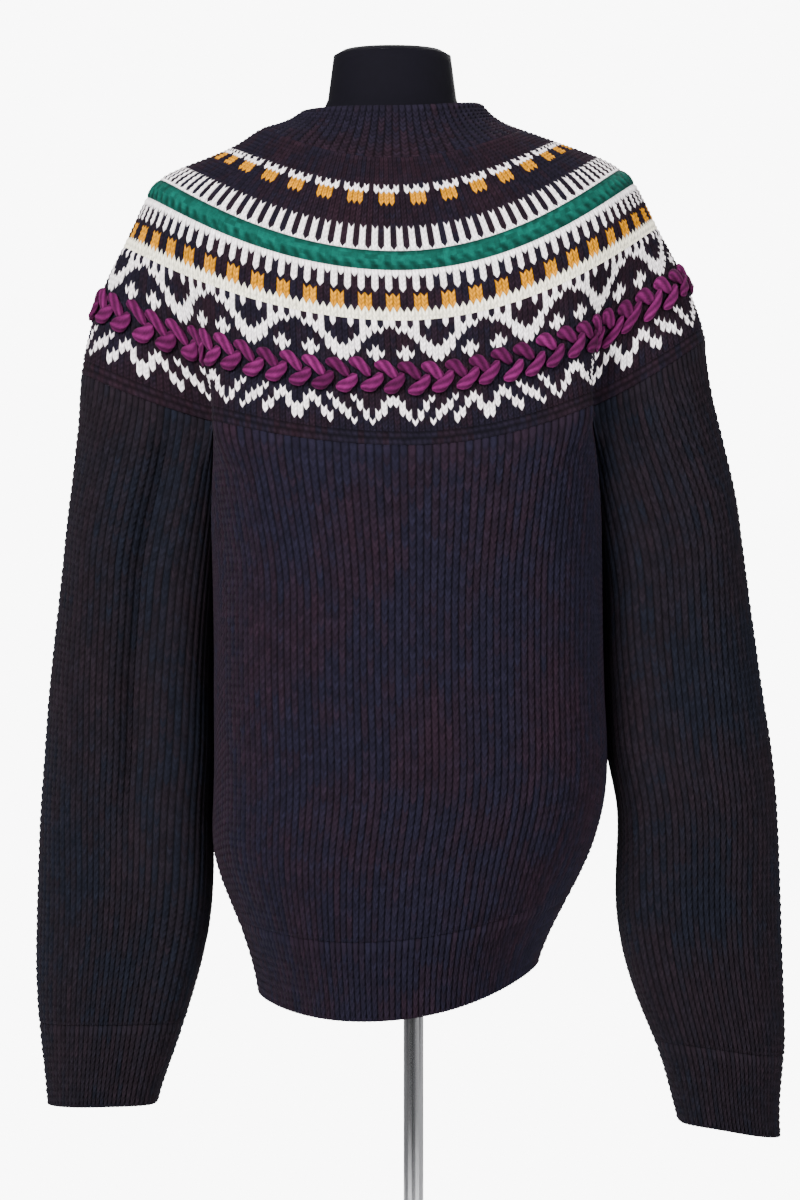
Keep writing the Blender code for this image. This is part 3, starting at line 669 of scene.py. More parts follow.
    def sleeve_top(self, right: bool, columns: np.ndarray) -> np.ndarray:
        """Top edge of a sleeve: the yoke's edge outside, the underarm seam inside.

        Args:
            right: True for the sleeve at +X.
            columns: Shares of the girth.

        Returns:
            One point for each column.
        """
        outward = np.mod(columns if right else -columns, 1.0)
        valley = self.sleeve_valley
        signed = np.where(outward > 1.0 - valley, outward - 1.0, outward)
        outer_share = (signed + valley) / (0.5 + 2.0 * valley)
        on_yoke = self.front_valley + outer_share * (self.back_valley - self.front_valley)
        inner_share = (signed - 0.5 - valley) / (0.5 - 2.0 * valley)
        on_body = 0.5 - self.body_valley - inner_share * (0.5 - 2.0 * self.body_valley)
        sign = 1.0 if right else -1.0
        outer = self.yoke_edge(sign * on_yoke)
        outer[:, 2] -= self.sleeve_seam_gap - self.edge_gap
        inner = self.underarm_line(sign * on_body)
        on_outer = outer_share <= 1.0
        edge = np.where(on_outer[:, None], outer, inner)
        past = np.minimum(outer_share, 1.0 - outer_share) / self.arm_ease
        under = self.valley_share + (1.0 - self.valley_share) * np.sin(math.pi * inner_share)
        away = self.arm_gap * np.where(on_outer, self.valley_share * np.exp(-past * past), under)
        edge[:, 0] += sign * away
        return edge

    def cuff_height(self, right: bool, columns: np.ndarray) -> np.ndarray:
        """Height of a cuff's edge, lower on its outer side by a sine."""
        middle, drop = self.right_cuff if right else self.left_cuff
        sign = 1.0 if right else -1.0
        return middle - drop * sign * np.sin(np.mod(columns, 1.0) * 2.0 * math.pi)

    def sleeve(self, right: bool) -> Surface:
        """Surface of a sleeve from its top edge (0) to the cuff's seam (1).

        Args:
            right: True for the sleeve at +X.

        Returns:
            The function of its rows and columns.
        """

        def section(columns: np.ndarray, heights: np.ndarray) -> np.ndarray:
            """Level sections of this sleeve."""
            return self.sleeve_section(right, columns, heights)

        def top(columns: np.ndarray) -> np.ndarray:
            """Top edge of this sleeve."""
            return self.sleeve_top(right, columns)

        def surface(rows: np.ndarray, columns: np.ndarray) -> np.ndarray:
            """Points of this sleeve."""
            feet = self.cuff_height(right, columns) + self.cuff_band + self.seam_gap
            grid = self.fitted(section, top, rows, columns, feet, self.sleeve_fade)
            return self.clear_of_body(right, grid)

        return surface

    def clear_of_body(self, right: bool, grid: np.ndarray) -> np.ndarray:
        """Set a sleeve's points beside the body, where they would lie inside it.

        Lines down the body's side give its reach at each height, and each point lies at least
        as far out as the furthest of them, below the underarm seam.

        Args:
            right: True for the sleeve at +X.
            grid: Points of the sleeve.

        Returns:
            The points, clear of the body.
        """
        sign = 1.0 if right else -1.0
        shares = np.linspace(1.0, 0.0, self.side_steps)
        lines = self.body(shares, sign * np.linspace(*self.side_columns)).swapaxes(0, 1)
        heights = grid[:, :, 2]
        reaches = [np.interp(heights, line[:, 2], sign * line[:, 0]) for line in lines]
        reach = np.max(reaches, axis=0) + self.side_gap
        start = self.underarm_height + 0.5 * self.clear_fade
        weight = smooth((start - heights) / self.clear_fade)
        push = np.maximum(reach - sign * grid[:, :, 0], 0.0) * weight
        grid[:, :, 0] += sign * push
        return grid

    def cuff(self, right: bool) -> Surface:
        """Surface of a cuff from its seam (0) to its edge (1).

        Args:
            right: True for the sleeve at +X.

        Returns:
            The function of its rows and columns.
        """

        def surface(rows: np.ndarray, columns: np.ndarray) -> np.ndarray:
            """Points of this cuff."""
            rows = np.asarray(rows, float)[:, None]
            heights = self.cuff_height(right, columns)[None, :] + self.cuff_band * (1.0 - rows)
            return self.sleeve_section(right, np.broadcast_to(columns, heights.shape), heights)

        return surface


def add_mesh(
    name: str,
    vertices: np.ndarray,
    quads: np.ndarray,
    triangles: np.ndarray,
    finish: bpy.types.Material,
) -> bpy.types.Object:
    """Put arrays of points and faces into one smooth-shaded mesh object.

    Args:
        name: The piece's name.
        vertices: Points, three numbers each.
        quads: Point numbers of the faces of four sides.
        triangles: Point numbers of the faces of three sides.
        finish: Its material.

    Returns:
        The new object, linked to the scene.
    """
    mesh = bpy.data.meshes.new(name)
    corners = np.concatenate([quads.ravel(), triangles.ravel()]).astype(np.int32)
    sizes = np.concatenate([np.full(len(quads), 4), np.full(len(triangles), 3)])
    starts = np.concatenate([[0], np.cumsum(sizes)[:-1]]).astype(np.int32)
    mesh.vertices.add(len(vertices))
    mesh.vertices.foreach_set("co", vertices.astype(np.float32).ravel())
    mesh.loops.add(len(corners))
    mesh.loops.foreach_set("vertex_index", corners)
    mesh.polygons.add(len(sizes))
    mesh.polygons.foreach_set("loop_start", starts)
    mesh.update(calc_edges=True)
    mesh.validate()
    mesh.shade_smooth()
    mesh.materials.append(finish)
    made = bpy.data.objects.new(name, mesh)
    bpy.context.scene.collection.objects.link(made)
    return made


def net(lines: int, spans: int, width: int, start: int = 0) -> np.ndarray:
    """Faces of four sides between lines of points, wound down and then around.

    Args:
        lines: Lines of points.
        spans: Faces between two lines.
        width: Points in a line, which the last face closes where it reaches round.
        start: Number of the first point.

    Returns:
        Four point numbers for each face.
    """
    row, column = np.meshgrid(np.arange(lines - 1), np.arange(spans), indexing="ij")
    row, column = start + width * row.ravel(), column.ravel()
    near, far = row + column, row + (column + 1) % width
    return np.stack([near, near + width, far + width, far], axis=1)


def ring_solid(name: str, grid: np.ndarray, finish: bpy.types.Material) -> bpy.types.Object:
    """Close rings of points into a solid, with fans about the middle of each end.

    Args:
        name: The piece's name.
        grid: Rings of points, from the top down.
        finish: Its material.

    Returns:
        The new object.
    """
    count, width = grid.shape[:2]
    ring = np.arange(width)
    ahead = (ring + 1) % width
    last = (count - 1) * width
    top = np.stack([np.full(width, count * width), ring, ahead], axis=1)
    foot = np.stack([np.full(width, count * width + 1), last + ahead, last + ring], axis=1)
    middles = [grid[0].mean(axis=0), grid[-1].mean(axis=0)]
    vertices = np.concatenate([grid.reshape(-1, 3), middles])
    return add_mesh(name, vertices, net(count, width, width), np.concatenate([top, foot]), finish)


def keep_sharp(mesh: bpy.types.Mesh, chosen: np.ndarray) -> None:
    """Mark as sharp each edge whose two points are both chosen.

    Args:
        mesh: The mesh.
        chosen: True for each chosen point.
    """
    ends = np.empty(len(mesh.edges) * 2, np.int32)
    mesh.edges.foreach_get("vertices", ends)
    sharp = chosen[ends.reshape(-1, 2)].all(axis=1)
    mark = mesh.attributes.new("sharp_edge", "BOOLEAN", "EDGE")
    mark.data.foreach_set("value", sharp)


# faces of a stitch across and along, and outer lines to one line of the inner side
ACROSS = 4
ALONG = 2
INNER_LINES = 2 * ALONG
# shape of a purl stitch at its four points, and its lift above the surface
PURL_BUMPS = (0.25, 0.60, 0.72, 0.60)
PURL_LIFT = 1.3
PURL_SINK = 0.3
# the welt's roll: lines of half of it, points of a turn, fullness, turns' depth, lift
ROPE_LINES = 4
ROPE_COLUMNS = 8
ROLL_POWER = 0.6
UPPER_TURNS = 0.16
LOWER_TURNS = 0.44
WELT_LIFT = 1.7
WELT_FOOT = 0.2
# how far the legs and the middle of a stitch sag, and lines over which that fades
SLIP_LEG = 0.9
SLIP_MIDDLE = 1.8
SLIP_TAPER = 2.0
# painted shade in the grooves of bright yarn: how far its mask is lifted there, up to this mask,
# at this lightness; and the mask of the inner side, a light painted shade
BRIGHT_SHADE_LIFT = 0.22
BRIGHT_MASK_CAP = 0.8
BRIGHT_TONE = 0.6
INNER_SHADE_MASK = 0.7


@dataclass
class KnitWall:
    """One knitted piece: a closed wall with a modelled stitch in each cell of its outer side.

    A stitch is four faces wide and two high. Its rows sag to the middle of the stitch, so that
    they form a V, and its two legs stand above the groove at its sides. The inner side is
    plain, with a point for every stitch column and every second stitch row.
    """

    name: str
    surface: Surface
    shares: np.ndarray
    columns: np.ndarray
    yarns: np.ndarray
    relief: float
    groove: float
    closed: bool = True
    inside: tuple = Tone.AUBERGINE.value
    works: tuple = ()
    fade: Callable | None = None
    dip: float = 0.45
    waist: float = 0.30
    seed: int = 1
    flat: tuple = (0.0, 0.0)
    area: float = 0.0

    @staticmethod
    def fine(edges: np.ndarray, parts: int) -> np.ndarray:
        """Edges with each span parted evenly."""
        whole = np.arange((len(edges) - 1) * parts + 1) / parts
        return np.interp(whole, np.arange(len(edges)), edges)

    def works_of_rows(self) -> list:
        """How each stitch row is worked."""
        return list(self.works) or [Stitch.KNIT] * (len(self.shares) - 1)

    def slip(self, count: int) -> np.ndarray:
        """How far each line of points sags into its V, tapered near edges and purl rows.

        Args:
            count: Lines of points.

        Returns:
            One share for each line.
        """
        works = self.works_of_rows()
        purl = [i for i, work in enumerate(works) if work is not Stitch.KNIT]
        stops = [0, count - 1] + [ALONG * i + part for i in purl for part in range(ALONG + 1)]
        away = np.abs(np.arange(count)[:, None] - np.array(stops)[None, :]).min(axis=1)
        return np.minimum(away / SLIP_TAPER, 1.0)

    def shapes(self, count: int, width: int) -> tuple:
        """Shape of the stitches, from 0 in the grooves to 1 on top, and their way of working.

        A knit stitch has two legs with a dip between them. A purl row is a line of round bumps,
        set half a stitch aside in every other row. A welt is one roll, the root of a sine over
        its lines, less a cosine that slants along the row, deeper in its lower half.

        Args:
            count: Lines of points.
            width: Points in each.

        Returns:
            The shape at each point, and masks of the purl and the welt lines.
        """
        works = self.works_of_rows()
        line = np.arange(count)[:, None]
        column = np.arange(width)[None, :]
        row = np.minimum(line // ALONG, len(works) - 1)
        middle = line % ALONG == 1
        purl = np.array([work is Stitch.PURL for work in works])[row]
        welt = np.array([work is Stitch.WELT for work in works])[row]
        legs = np.array([0.0, 1.0, self.dip, 1.0])[column % ACROSS]
        knitted = legs * np.where(middle, 1.0, self.waist)
        bumps = np.array(PURL_BUMPS)[(column + 2 * (row % 2)) % ACROSS]
        within = line - ALONG * (works.index(Stitch.WELT) if Stitch.WELT in works else 0)
        lean = np.where(within < ROPE_LINES, 1.0, -1.0) * within / (2.0 * ROPE_LINES)
        turns = np.cos(2.0 * math.pi * (column / ROPE_COLUMNS + lean))
        roll = np.abs(np.sin(math.pi * within / (2.0 * ROPE_LINES))) ** ROLL_POWER
        depth = np.where(within <= ROPE_LINES, UPPER_TURNS, LOWER_TURNS)
        shape = np.where(purl, bumps * middle, knitted)
        return np.where(welt, roll * (1.0 - depth + depth * turns), shape), purl, welt

    def lift(self, shape: np.ndarray, purl: np.ndarray, welt: np.ndarray) -> np.ndarray:
        """Height above the surface: a depth below it plus the shape times the relief.

        Args:
            shape: Shape of the stitches, from 0 to 1.
            purl: Lines of purl bumps.
            welt: Lines of the welt.

        Returns:
            Height of each point, with each stitch a little fuller or thinner than the next.
        """
        high = -self.groove + (self.relief + self.groove) * shape
        high = np.where(purl, self.relief * (PURL_LIFT * shape - PURL_SINK), high)
        high = np.where(welt, self.relief * (WELT_LIFT * shape + WELT_FOOT), high)
        count, width = shape.shape
        rows, stitches = self.yarns.shape[:2]
        draws = np.random.default_rng(self.seed).random((rows, stitches))
        swell = UNEVEN_FROM + UNEVEN_RANGE * draws
        row = np.minimum(np.arange(count) // ALONG, rows - 1)
        column = np.minimum(np.arange(width) // ACROSS, stitches - 1)
        return np.where(high > 0.0, high * swell[row][:, column], high)

    def build(self, finish: bpy.types.Material) -> bpy.types.Object:
        """Work out the wall and put it in the scene.

        Args:
            finish: Its yarn material.

        Returns:
            The piece.
        """
        rows = self.fine(self.shares, ALONG)
        edges = self.fine(self.columns, ACROSS)
        columns = edges[:-1] if self.closed else edges
        base = self.surface(rows, columns)
        normal = normals(self.surface, rows, columns)
        count, width = base.shape[:2]

        across = np.tile([0.0, SLIP_LEG, SLIP_MIDDLE, SLIP_LEG], width // ACROSS + 1)[:width]
        place = np.arange(count)[:, None] + self.slip(count)[:, None] * across[None, :]
        cell = np.minimum(place.astype(int), count - 2)
        part = (place - cell)[:, :, None]
        which = np.arange(width)[None, :]
        sagged = base[cell, which] * (1.0 - part) + base[cell + 1, which] * part
        shape, purl, welt = self.shapes(count, width)
        high = self.lift(shape, purl, welt)
        strength = np.ones((count, width)) if self.fade is None else self.fade(rows, columns)
        high = np.where(high > 0.0, high * strength, high)
        outer = sagged + normal * high[:, :, None]

        inner = (base - normal * WALL)[::INNER_LINES, ::ACROSS]
        vertices = np.concatenate([outer.reshape(-1, 3), inner.reshape(-1, 3)])
        quads, triangles = self.faces(count, width, inner.shape[0], inner.shape[1])
        made = add_mesh(self.name, vertices, quads, triangles, finish)
        rim = np.zeros(len(vertices), bool)
        rim[:width] = True
        rim[(count - 1) * width : count * width] = True
        keep_sharp(made.data, rim)
        self.paint(made, shape, len(quads), len(triangles))
        self.measure(base)
        return made

    def faces(self, count: int, width: int, low: int, narrow: int) -> tuple:
        """Point numbers of the wall's faces.

        Args:
            count: Lines of points of the outer side.
            width: Points in each of them.
            low: Lines of points of the inner side.
            narrow: Points in each of them.

        Returns:
            The faces of four sides, outer side first, and the triangles of the rims.
        """
        start = count * width

        def out(row: np.ndarray, column: np.ndarray) -> np.ndarray:
            """Numbers of outer points."""
            return row * width + column % width

        def inn(row: np.ndarray, column: np.ndarray) -> np.ndarray:
            """Numbers of inner points."""
            return start + row * narrow + column % narrow

        spans = width if self.closed else width - 1
        near_spans = narrow if self.closed else narrow - 1
        outer = net(count, spans, width)
        inner = net(low, near_spans, narrow, start)[:, [0, 3, 2, 1]]
        fans = []
        column = np.arange(near_spans)
        for outer_row, inner_row, flip in ((0, 0, False), (count - 1, low - 1, True)):
            rim = [out(outer_row, ACROSS * column + step) for step in range(ACROSS + 1)]
            fans += self.fan(rim, inn(inner_row, column), inn(inner_row, column + 1), flip)
        if not self.closed:
            row = np.arange(low - 1)
            for edge, inner_edge, flip in ((0, 0, True), (spans, near_spans, False)):
                rim = [out(INNER_LINES * row + step, edge) for step in range(INNER_LINES + 1)]
                fans += self.fan(rim, inn(row, inner_edge), inn(row + 1, inner_edge), flip)
        return np.concatenate([outer, inner]), np.concatenate(fans)

    @staticmethod
    def fan(rim: list, near: np.ndarray, far: np.ndarray, flip: bool) -> list:
        """Triangles that join the spans of an outer rim to one span of the inner rim.

        Args:
            rim: Outer point numbers, one array for each place along a span.
            near: Inner point at each span's start.
            far: Inner point at its end.
            flip: True where the faces turn the other way.

        Returns:
            Arrays of triangles.
        """
        middle = (len(rim) - 1) // 2
        made = [np.stack([rim[middle], far, near], axis=1)]
        for k in range(len(rim) - 1):
            made.append(np.stack([rim[k], rim[k + 1], far if k >= middle else near], axis=1))
        return [face[:, ::-1] for face in made] if flip else made

    def paint(self, made: bpy.types.Object, shape: np.ndarray, quads: int, triangles: int) -> None:
        """Give each corner its stitch's yarn colour, and each point a mask of painted shade.

        The mask is the stitch's shape, raised towards the top on bright yarn, whose grooves
        are lit by the yarn beside them. The wool material darkens the yarn where the mask is
        low, which paints shade into the grooves between legs and rows.

        Args:
            made: The piece.
            shape: Shape of the stitches at each outer point.
            quads: Faces of four sides.
            triangles: Faces of three sides.
        """
        mesh = made.data
        by_stitch = np.repeat(np.repeat(self.yarns, ALONG, axis=0), ACROSS, axis=1)
        outer = by_stitch.reshape(-1, 3)
        rest = np.tile(self.inside, (quads - len(outer), 1))
        colour = np.repeat(np.concatenate([outer, rest]), 4, axis=0)
        colour = np.concatenate([colour, np.tile(self.inside, (triangles * 3, 1))])
        rgba = np.concatenate([colour, np.ones((len(colour), 1))], axis=1)
        layer = mesh.color_attributes.new("yarn", "FLOAT_COLOR", "CORNER")
        layer.data.foreach_set("color", rgba.astype(np.float32).ravel())
        count, width = shape.shape
        row = np.minimum(np.arange(count), len(by_stitch) - 1)
        column = np.minimum(np.arange(width), by_stitch.shape[1] - 1)
        # painted shade: the mask follows the stitch's shape, so the grooves are shaded, less so on
        # bright yarn
        bright = np.clip(by_stitch[row][:, column].min(axis=2) / BRIGHT_TONE, 0.0, 1.0)
        painted_shade_mask = shape + BRIGHT_SHADE_LIFT * bright * np.maximum(BRIGHT_MASK_CAP - shape, 0.0)
        # the edge lines take half of the next line's mask, which softens the painted shade along the
        # seams
        painted_shade_mask[0] = (painted_shade_mask[0] + painted_shade_mask[1]) / 2.0
        painted_shade_mask[-1] = (painted_shade_mask[-1] + painted_shade_mask[-2]) / 2.0
        # the inner side takes one even mask, a light painted shade
        inner = np.full(len(mesh.vertices) - painted_shade_mask.size, INNER_SHADE_MASK)
        mark = mesh.attributes.new("painted_shade_mask", "FLOAT", "POINT")
        mark.data.foreach_set("value", np.concatenate([painted_shade_mask.ravel(), inner]).astype(np.float32))

    def measure(self, base: np.ndarray) -> None:
        """Work out the cut: longest girth, longest line along, and area of the surface.

        Args:
            base: Points of the surface.
        """
        across = np.linalg.norm(np.diff(base, axis=1), axis=2)
        along = np.linalg.norm(np.diff(base, axis=0), axis=2)
        width = across.sum(axis=1)
        if self.closed:
            width = width + np.linalg.norm(base[:, 0] - base[:, -1], axis=1)
        length = along.sum(axis=0)
        girth = (width[1:] + width[:-1]) / 2.0
        self.flat = (round(float(width.max()), 3), round(float(length.max()), 3))
        self.area = round(float((girth * along.mean(axis=1)).sum()), 4)
        self.area = min(self.area, self.flat[0] * self.flat[1])


def soft_noise(
    random: np.random.Generator, rows: int, stitches: int, tall: float, wide: int
) -> np.ndarray:
    """Smooth noise from 0 to 1, read between random values on a coarse grid that joins up.

    Args:
        random: Source of the values.
        rows: Stitch rows.
        stitches: Stitches in a row.
        tall: Rows between the grid's values.
        wide: Stitches between them.

    Returns:
        One value for each row and stitch.
    """
    grid = random.random((int(rows / tall) + 2, max(2, stitches // wide)))
    down = np.arange(rows) / tall
    across = np.arange(stitches) / stitches * grid.shape[1]
    low, near = down.astype(int), across.astype(int)
    far = (near + 1) % grid.shape[1]
    below, beside = smooth(down - low)[:, None], smooth(across - near)[None, :]
    upper = grid[low][:, near] * (1.0 - beside) + grid[low][:, far] * beside
    lower = grid[low + 1][:, near] * (1.0 - beside) + grid[low + 1][:, far] * beside
    return upper * (1.0 - below) + lower * below


@dataclass
class Heather:
    """Dark yarn spun from aubergine wool with navy and plum, in clouds, streaks and specks."""

    seed: int = 5
    cloud: float = 0.48
    streak: float = 0.34
    navy_from: float = 0.43
    plum_to: float = 0.47
    blend: float = 0.26
    # rows and stitches between the noise values of clouds and of streaks
    cloud_size: tuple = (13.0, 9)
    streak_size: tuple = (3.5, 1)
    tint: tuple = (1.0, 1.0, 1.0)

    def field(self, rows: int, stitches: int) -> np.ndarray:
        """Colour of each stitch: the sum of the noises leads to navy above and plum below.

        Args:
            rows: Stitch rows.
            stitches: Stitches in a row.

        Returns:
            Linear colours by row and stitch.
        """
        random = np.random.default_rng(self.seed)
        mixed = self.cloud * soft_noise(random, rows, stitches, *self.cloud_size)
        mixed += self.streak * soft_noise(random, rows, stitches, *self.streak_size)
        mixed += (1.0 - self.cloud - self.streak) * random.random((rows, stitches))
        dark, navy, plum = (np.array(t.value) for t in (Tone.AUBERGINE, Tone.NAVY, Tone.PLUM))
        to_navy = smooth((mixed - self.navy_from) / self.blend)[:, :, None]
        to_plum = smooth((self.plum_to - mixed) / self.blend)[:, :, None]
        colour = (dark + (navy - dark) * to_navy + (plum - dark) * to_plum) * np.array(self.tint)
        return colour * (UNEVEN_FROM + UNEVEN_RANGE * random.random((rows, stitches, 1)))


class Chart:
    """Stitch charts of the yoke's bands, one letter a stitch, top row first."""

    yarn = {
        "W": Tone.WHITE,
        "C": Tone.CREAM,
        "G": Tone.GREEN,
        "Y": Tone.YELLOW,
    }
    # how much the stitches of a yarn differ in shade, and the draw that leaves its tone
    even_draw = 0.6
    uneven = {"W": 0.16, "C": 0.14, "G": 0.55, "Y": 0.22}
    star = ("W.W.W.", "WWWWW.", ".YYY..", ".YYY..", ".YYY..")
    upper_comb = ("W.", "W.", "W.", "W.", "WW")
    green = ("G", "G", "G", "G")
    lower_comb = ("WW", "W.", "W.", "W.")
    dots = ("YY..", "YY..", "YY..")
    cream = ("C", "C")
    # half of a repeat, from the point of a V outwards
    vees = (
        ".W.W.W.W",
        "...WWWW.",
        "...WW...",
        "..WW....",
        ".WW.....",
        "WWW..W..",
        "WW..WWW.",
        "W....W..",
    )
    # half of a repeat, from the peak between two crosses outwards
    chevrons = (
        "W.....W...W..W..",
        "WW...W...W..WWW.",
        ".W...W..WW..W.W.",
        ".WW.W..WW..W..WW",
        "..W.W..W..WW...W",
        "...W..W...W....W",
    )

    @staticmethod
    def letters(rows: tuple, stitches: int, start: int, mirrored: bool = False) -> np.ndarray:
        """Letters of a band all the way round.

        Args:
            rows: The band's chart.
            stitches: Stitches in the round.
            start: Stitch where a repeat begins.
            mirrored: True where the chart is half of a repeat, which turns back at its end.

        Returns:
            One letter for each row and stitch.
        """
        chart = np.array([list(row) for row in rows])
        if mirrored:
            chart = np.concatenate([chart, chart[:, ::-1]], axis=1)
        place = np.mod(np.arange(stitches) - start, chart.shape[1])
        return chart[:, place]

    @classmethod
    def colours(cls, letters: np.ndarray, ground: np.ndarray, seed: int) -> np.ndarray:
        """Colours of the charted stitches over the ground yarn, each a little different.

        Args:
            letters: One letter for each row and stitch.
            ground: Colours of the ground yarn.
            seed: Seed of the shades.

        Returns:
            Linear colours by row and stitch.
        """
        random = np.random.default_rng(seed)
        made = ground.copy()
        draws = random.random(letters.shape)
        for letter, tone in cls.yarn.items():
            chosen = letters == letter
            shade = 1.0 + cls.uneven[letter] * (draws[chosen][:, None] - cls.even_draw)
            made[chosen] = np.array(tone.value)[None, :] * shade
        return made


def node(
    tree: bpy.types.NodeTree, kind: str, *fed: object, **values: object
) -> bpy.types.Node:
    """Add a node, set its options, and feed its sockets with outputs or constants.

    Args:
        tree: The tree to add to.
        kind: The node's type, without its prefix.
        *fed: What goes into its first sockets, or None to pass one by.
        **values: Options by name, and what goes into sockets by name with _ for a space.

    Returns:
        The node.
    """
    made = tree.nodes.new("ShaderNode" + kind)
    sockets = dict(enumerate(fed))
    for key, value in values.items():
        if hasattr(made, key):
            setattr(made, key, value)
        else:
            sockets[key.replace("_", " ")] = value
    for key, value in sockets.items():
        if isinstance(value, bpy.types.NodeSocket):
            tree.links.new(value, made.inputs[key])
        elif value is not None:
            made.inputs[key].default_value = value
    return made


def group(name: str, inputs: dict, outputs: dict) -> tuple:
    """A new shader node group.

    Args:
        name: The group's name.
        inputs: Default value of each number that goes in.
        outputs: Socket type of each value that comes out.

    Returns:
        The group's tree, its input node and its output node.
    """
    tree = bpy.data.node_groups.new(name, "ShaderNodeTree")
    for key, value in inputs.items():
        kind = "NodeSocketVector" if isinstance(value, tuple) else "NodeSocketFloat"
        made = tree.interface.new_socket(key, in_out="INPUT", socket_type=kind)
        made.default_value = value
    for key, kind in outputs.items():
        tree.interface.new_socket(key, in_out="OUTPUT", socket_type=kind)
    return tree, tree.nodes.new("NodeGroupInput"), tree.nodes.new("NodeGroupOutput")


@dataclass(frozen=True)
class FibreGroup:
    """Loose fibres on yarn: fine noise for the bump, broad noise for the shade."""

    name: str = "fibre"

    def build(self) -> bpy.types.NodeTree:
        """Make the group: fine noise for height, and the sum of both noises for shade."""
        tree, given, out = group(
            self.name,
            {"Coordinates": (0.0, 0.0, 0.0), "Fine": 1500.0, "Broad": 260.0, "Amount": 0.35},
            {"Height": "NodeSocketFloat", "Shade": "NodeSocketFloat"},
        )
        sent = given.outputs
        place, amount = sent["Coordinates"], sent["Amount"]
        fine = node(tree, "TexNoise", place, Scale=sent["Fine"], Detail=3.0, Roughness=0.65)
        broad = node(tree, "TexNoise", place, Scale=sent["Broad"], Detail=2.0, Roughness=0.5)
        total = node(tree, "Math", fine.outputs["Fac"], broad.outputs["Fac"], operation="ADD")
        centred = node(tree, "Math", total.outputs[0], 1.0, operation="SUBTRACT")
        shade = node(tree, "Math", centred.outputs[0], amount, 1.0, operation="MULTIPLY_ADD")
        tree.links.new(fine.outputs["Fac"], out.inputs["Height"])
        tree.links.new(shade.outputs[0], out.inputs["Shade"])
        return tree


def material(name: str, **values: object) -> tuple:
    """A new material.

    Args:
        name: Its name.
        **values: Constant values of its shader's sockets, with _ for a space.

    Returns:
        The material, its tree and its shader.
    """
    made = bpy.data.materials.new(name)
    made.use_nodes = True
    shader = made.node_tree.nodes["Principled BSDF"]
    for key, value in values.items():
        shader.inputs[key.replace("_", " ")].default_value = value
    return made, made.node_tree, shader


def add_fibres(tree: bpy.types.NodeTree, fibre: bpy.types.NodeTree, amount: float) -> bpy.types.Node:
    """Place the fibre group on Object coordinates."""
    place = node(tree, "TexCoord")
    return node(tree, "Group", node_tree=fibre, Coordinates=place.outputs["Object"], Amount=amount)


def cover(
    tree: bpy.types.NodeTree,
    shader: bpy.types.Node,
    colour: object,
    factor: bpy.types.NodeSocket,
    fibres: bpy.types.Node,
    bump: tuple,
) -> None:
    """Feed a shader with its colour times a factor, and with a bump of the fibres' height.

    Args:
        tree: The material's tree.
        shader: Its shader.
        colour: The colour, or the output that gives it.
        factor: Output that it is multiplied by.
        fibres: The fibre group's node.
        bump: The bump's strength and depth.
    """
    strength, depth = bump
    height = fibres.outputs["Height"]
    shaded = node(tree, "VectorMath", colour, operation="SCALE", Scale=factor)
    raised = node(tree, "Bump", Strength=strength, Distance=depth, Height=height)
    tree.links.new(shaded.outputs[0], shader.inputs["Base Color"])
    tree.links.new(raised.outputs[0], shader.inputs["Normal"])


@dataclass(frozen=True)
class WoolFinish:
    """Woollen yarn whose colour comes from the stitches' own colours, with painted shade in their
    grooves.
    """

    name: str
    fibre: bpy.types.NodeTree
    roughness: float = 0.92
    specular: float = 0.05
    sheen: float = 0.015
    sheen_roughness: float = 0.45
    sheen_tint: tuple = (0.80, 0.75, 0.85, 1.0)
    bump: tuple = (0.5, 0.0006)
    # painted shade in the grooves: the yarn's share where the mask is 0, and the mask from which
    # none is painted
    groove_shade: float = 0.30
    shade_free_mask: float = 0.8
    fibre_amount: float = 0.9

    def build(self) -> bpy.types.Material:
        """Make the material: yarn colour, with painted shade in the grooves by the mask, uneven by
        the fibre noise.
        """
        made, tree, shader = material(
            self.name,
            Roughness=self.roughness,
            Sheen_Weight=self.sheen,
            Sheen_Roughness=self.sheen_roughness,
            Sheen_Tint=self.sheen_tint,
            Specular_IOR_Level=self.specular,
        )
        yarn = node(tree, "Attribute", attribute_name="yarn").outputs["Color"]
        painted_shade_mask = node(tree, "Attribute", attribute_name="painted_shade_mask").outputs["Fac"]
        fibres = add_fibres(tree, self.fibre, self.fibre_amount)
        # painted shade: the yarn darkens where the mask falls, in the grooves
        groove_painted_shade = node(tree, "MapRange", painted_shade_mask, From_Max=self.shade_free_mask, To_Min=self.groove_shade)
        shade = fibres.outputs["Shade"]
        factor = node(tree, "Math", groove_painted_shade.outputs[0], shade, operation="MULTIPLY")
        cover(tree, shader, yarn, factor.outputs[0], fibres, self.bump)
        return made


@dataclass(frozen=True)
class JerseyFinish:
    """Tight dark jersey stretched over the form."""

    name: str
    fibre: bpy.types.NodeTree
    colour: tuple = (0.0022, 0.0018, 0.0038)
    roughness: float = 0.85
    specular: float = 0.06
    sheen: float = 0.01
    bump: tuple = (0.35, 0.0003)
    fibre_amount: float = 0.35

    def build(self) -> bpy.types.Material:
        """Make the material: a dark colour, uneven by the fibre noise."""
        made, tree, shader = material(
            self.name,
            Roughness=self.roughness,
            Sheen_Weight=self.sheen,
            Specular_IOR_Level=self.specular,
        )
        fibres = add_fibres(tree, self.fibre, self.fibre_amount)
        cover(tree, shader, self.colour, fibres.outputs["Shade"], fibres, self.bump)
        return made


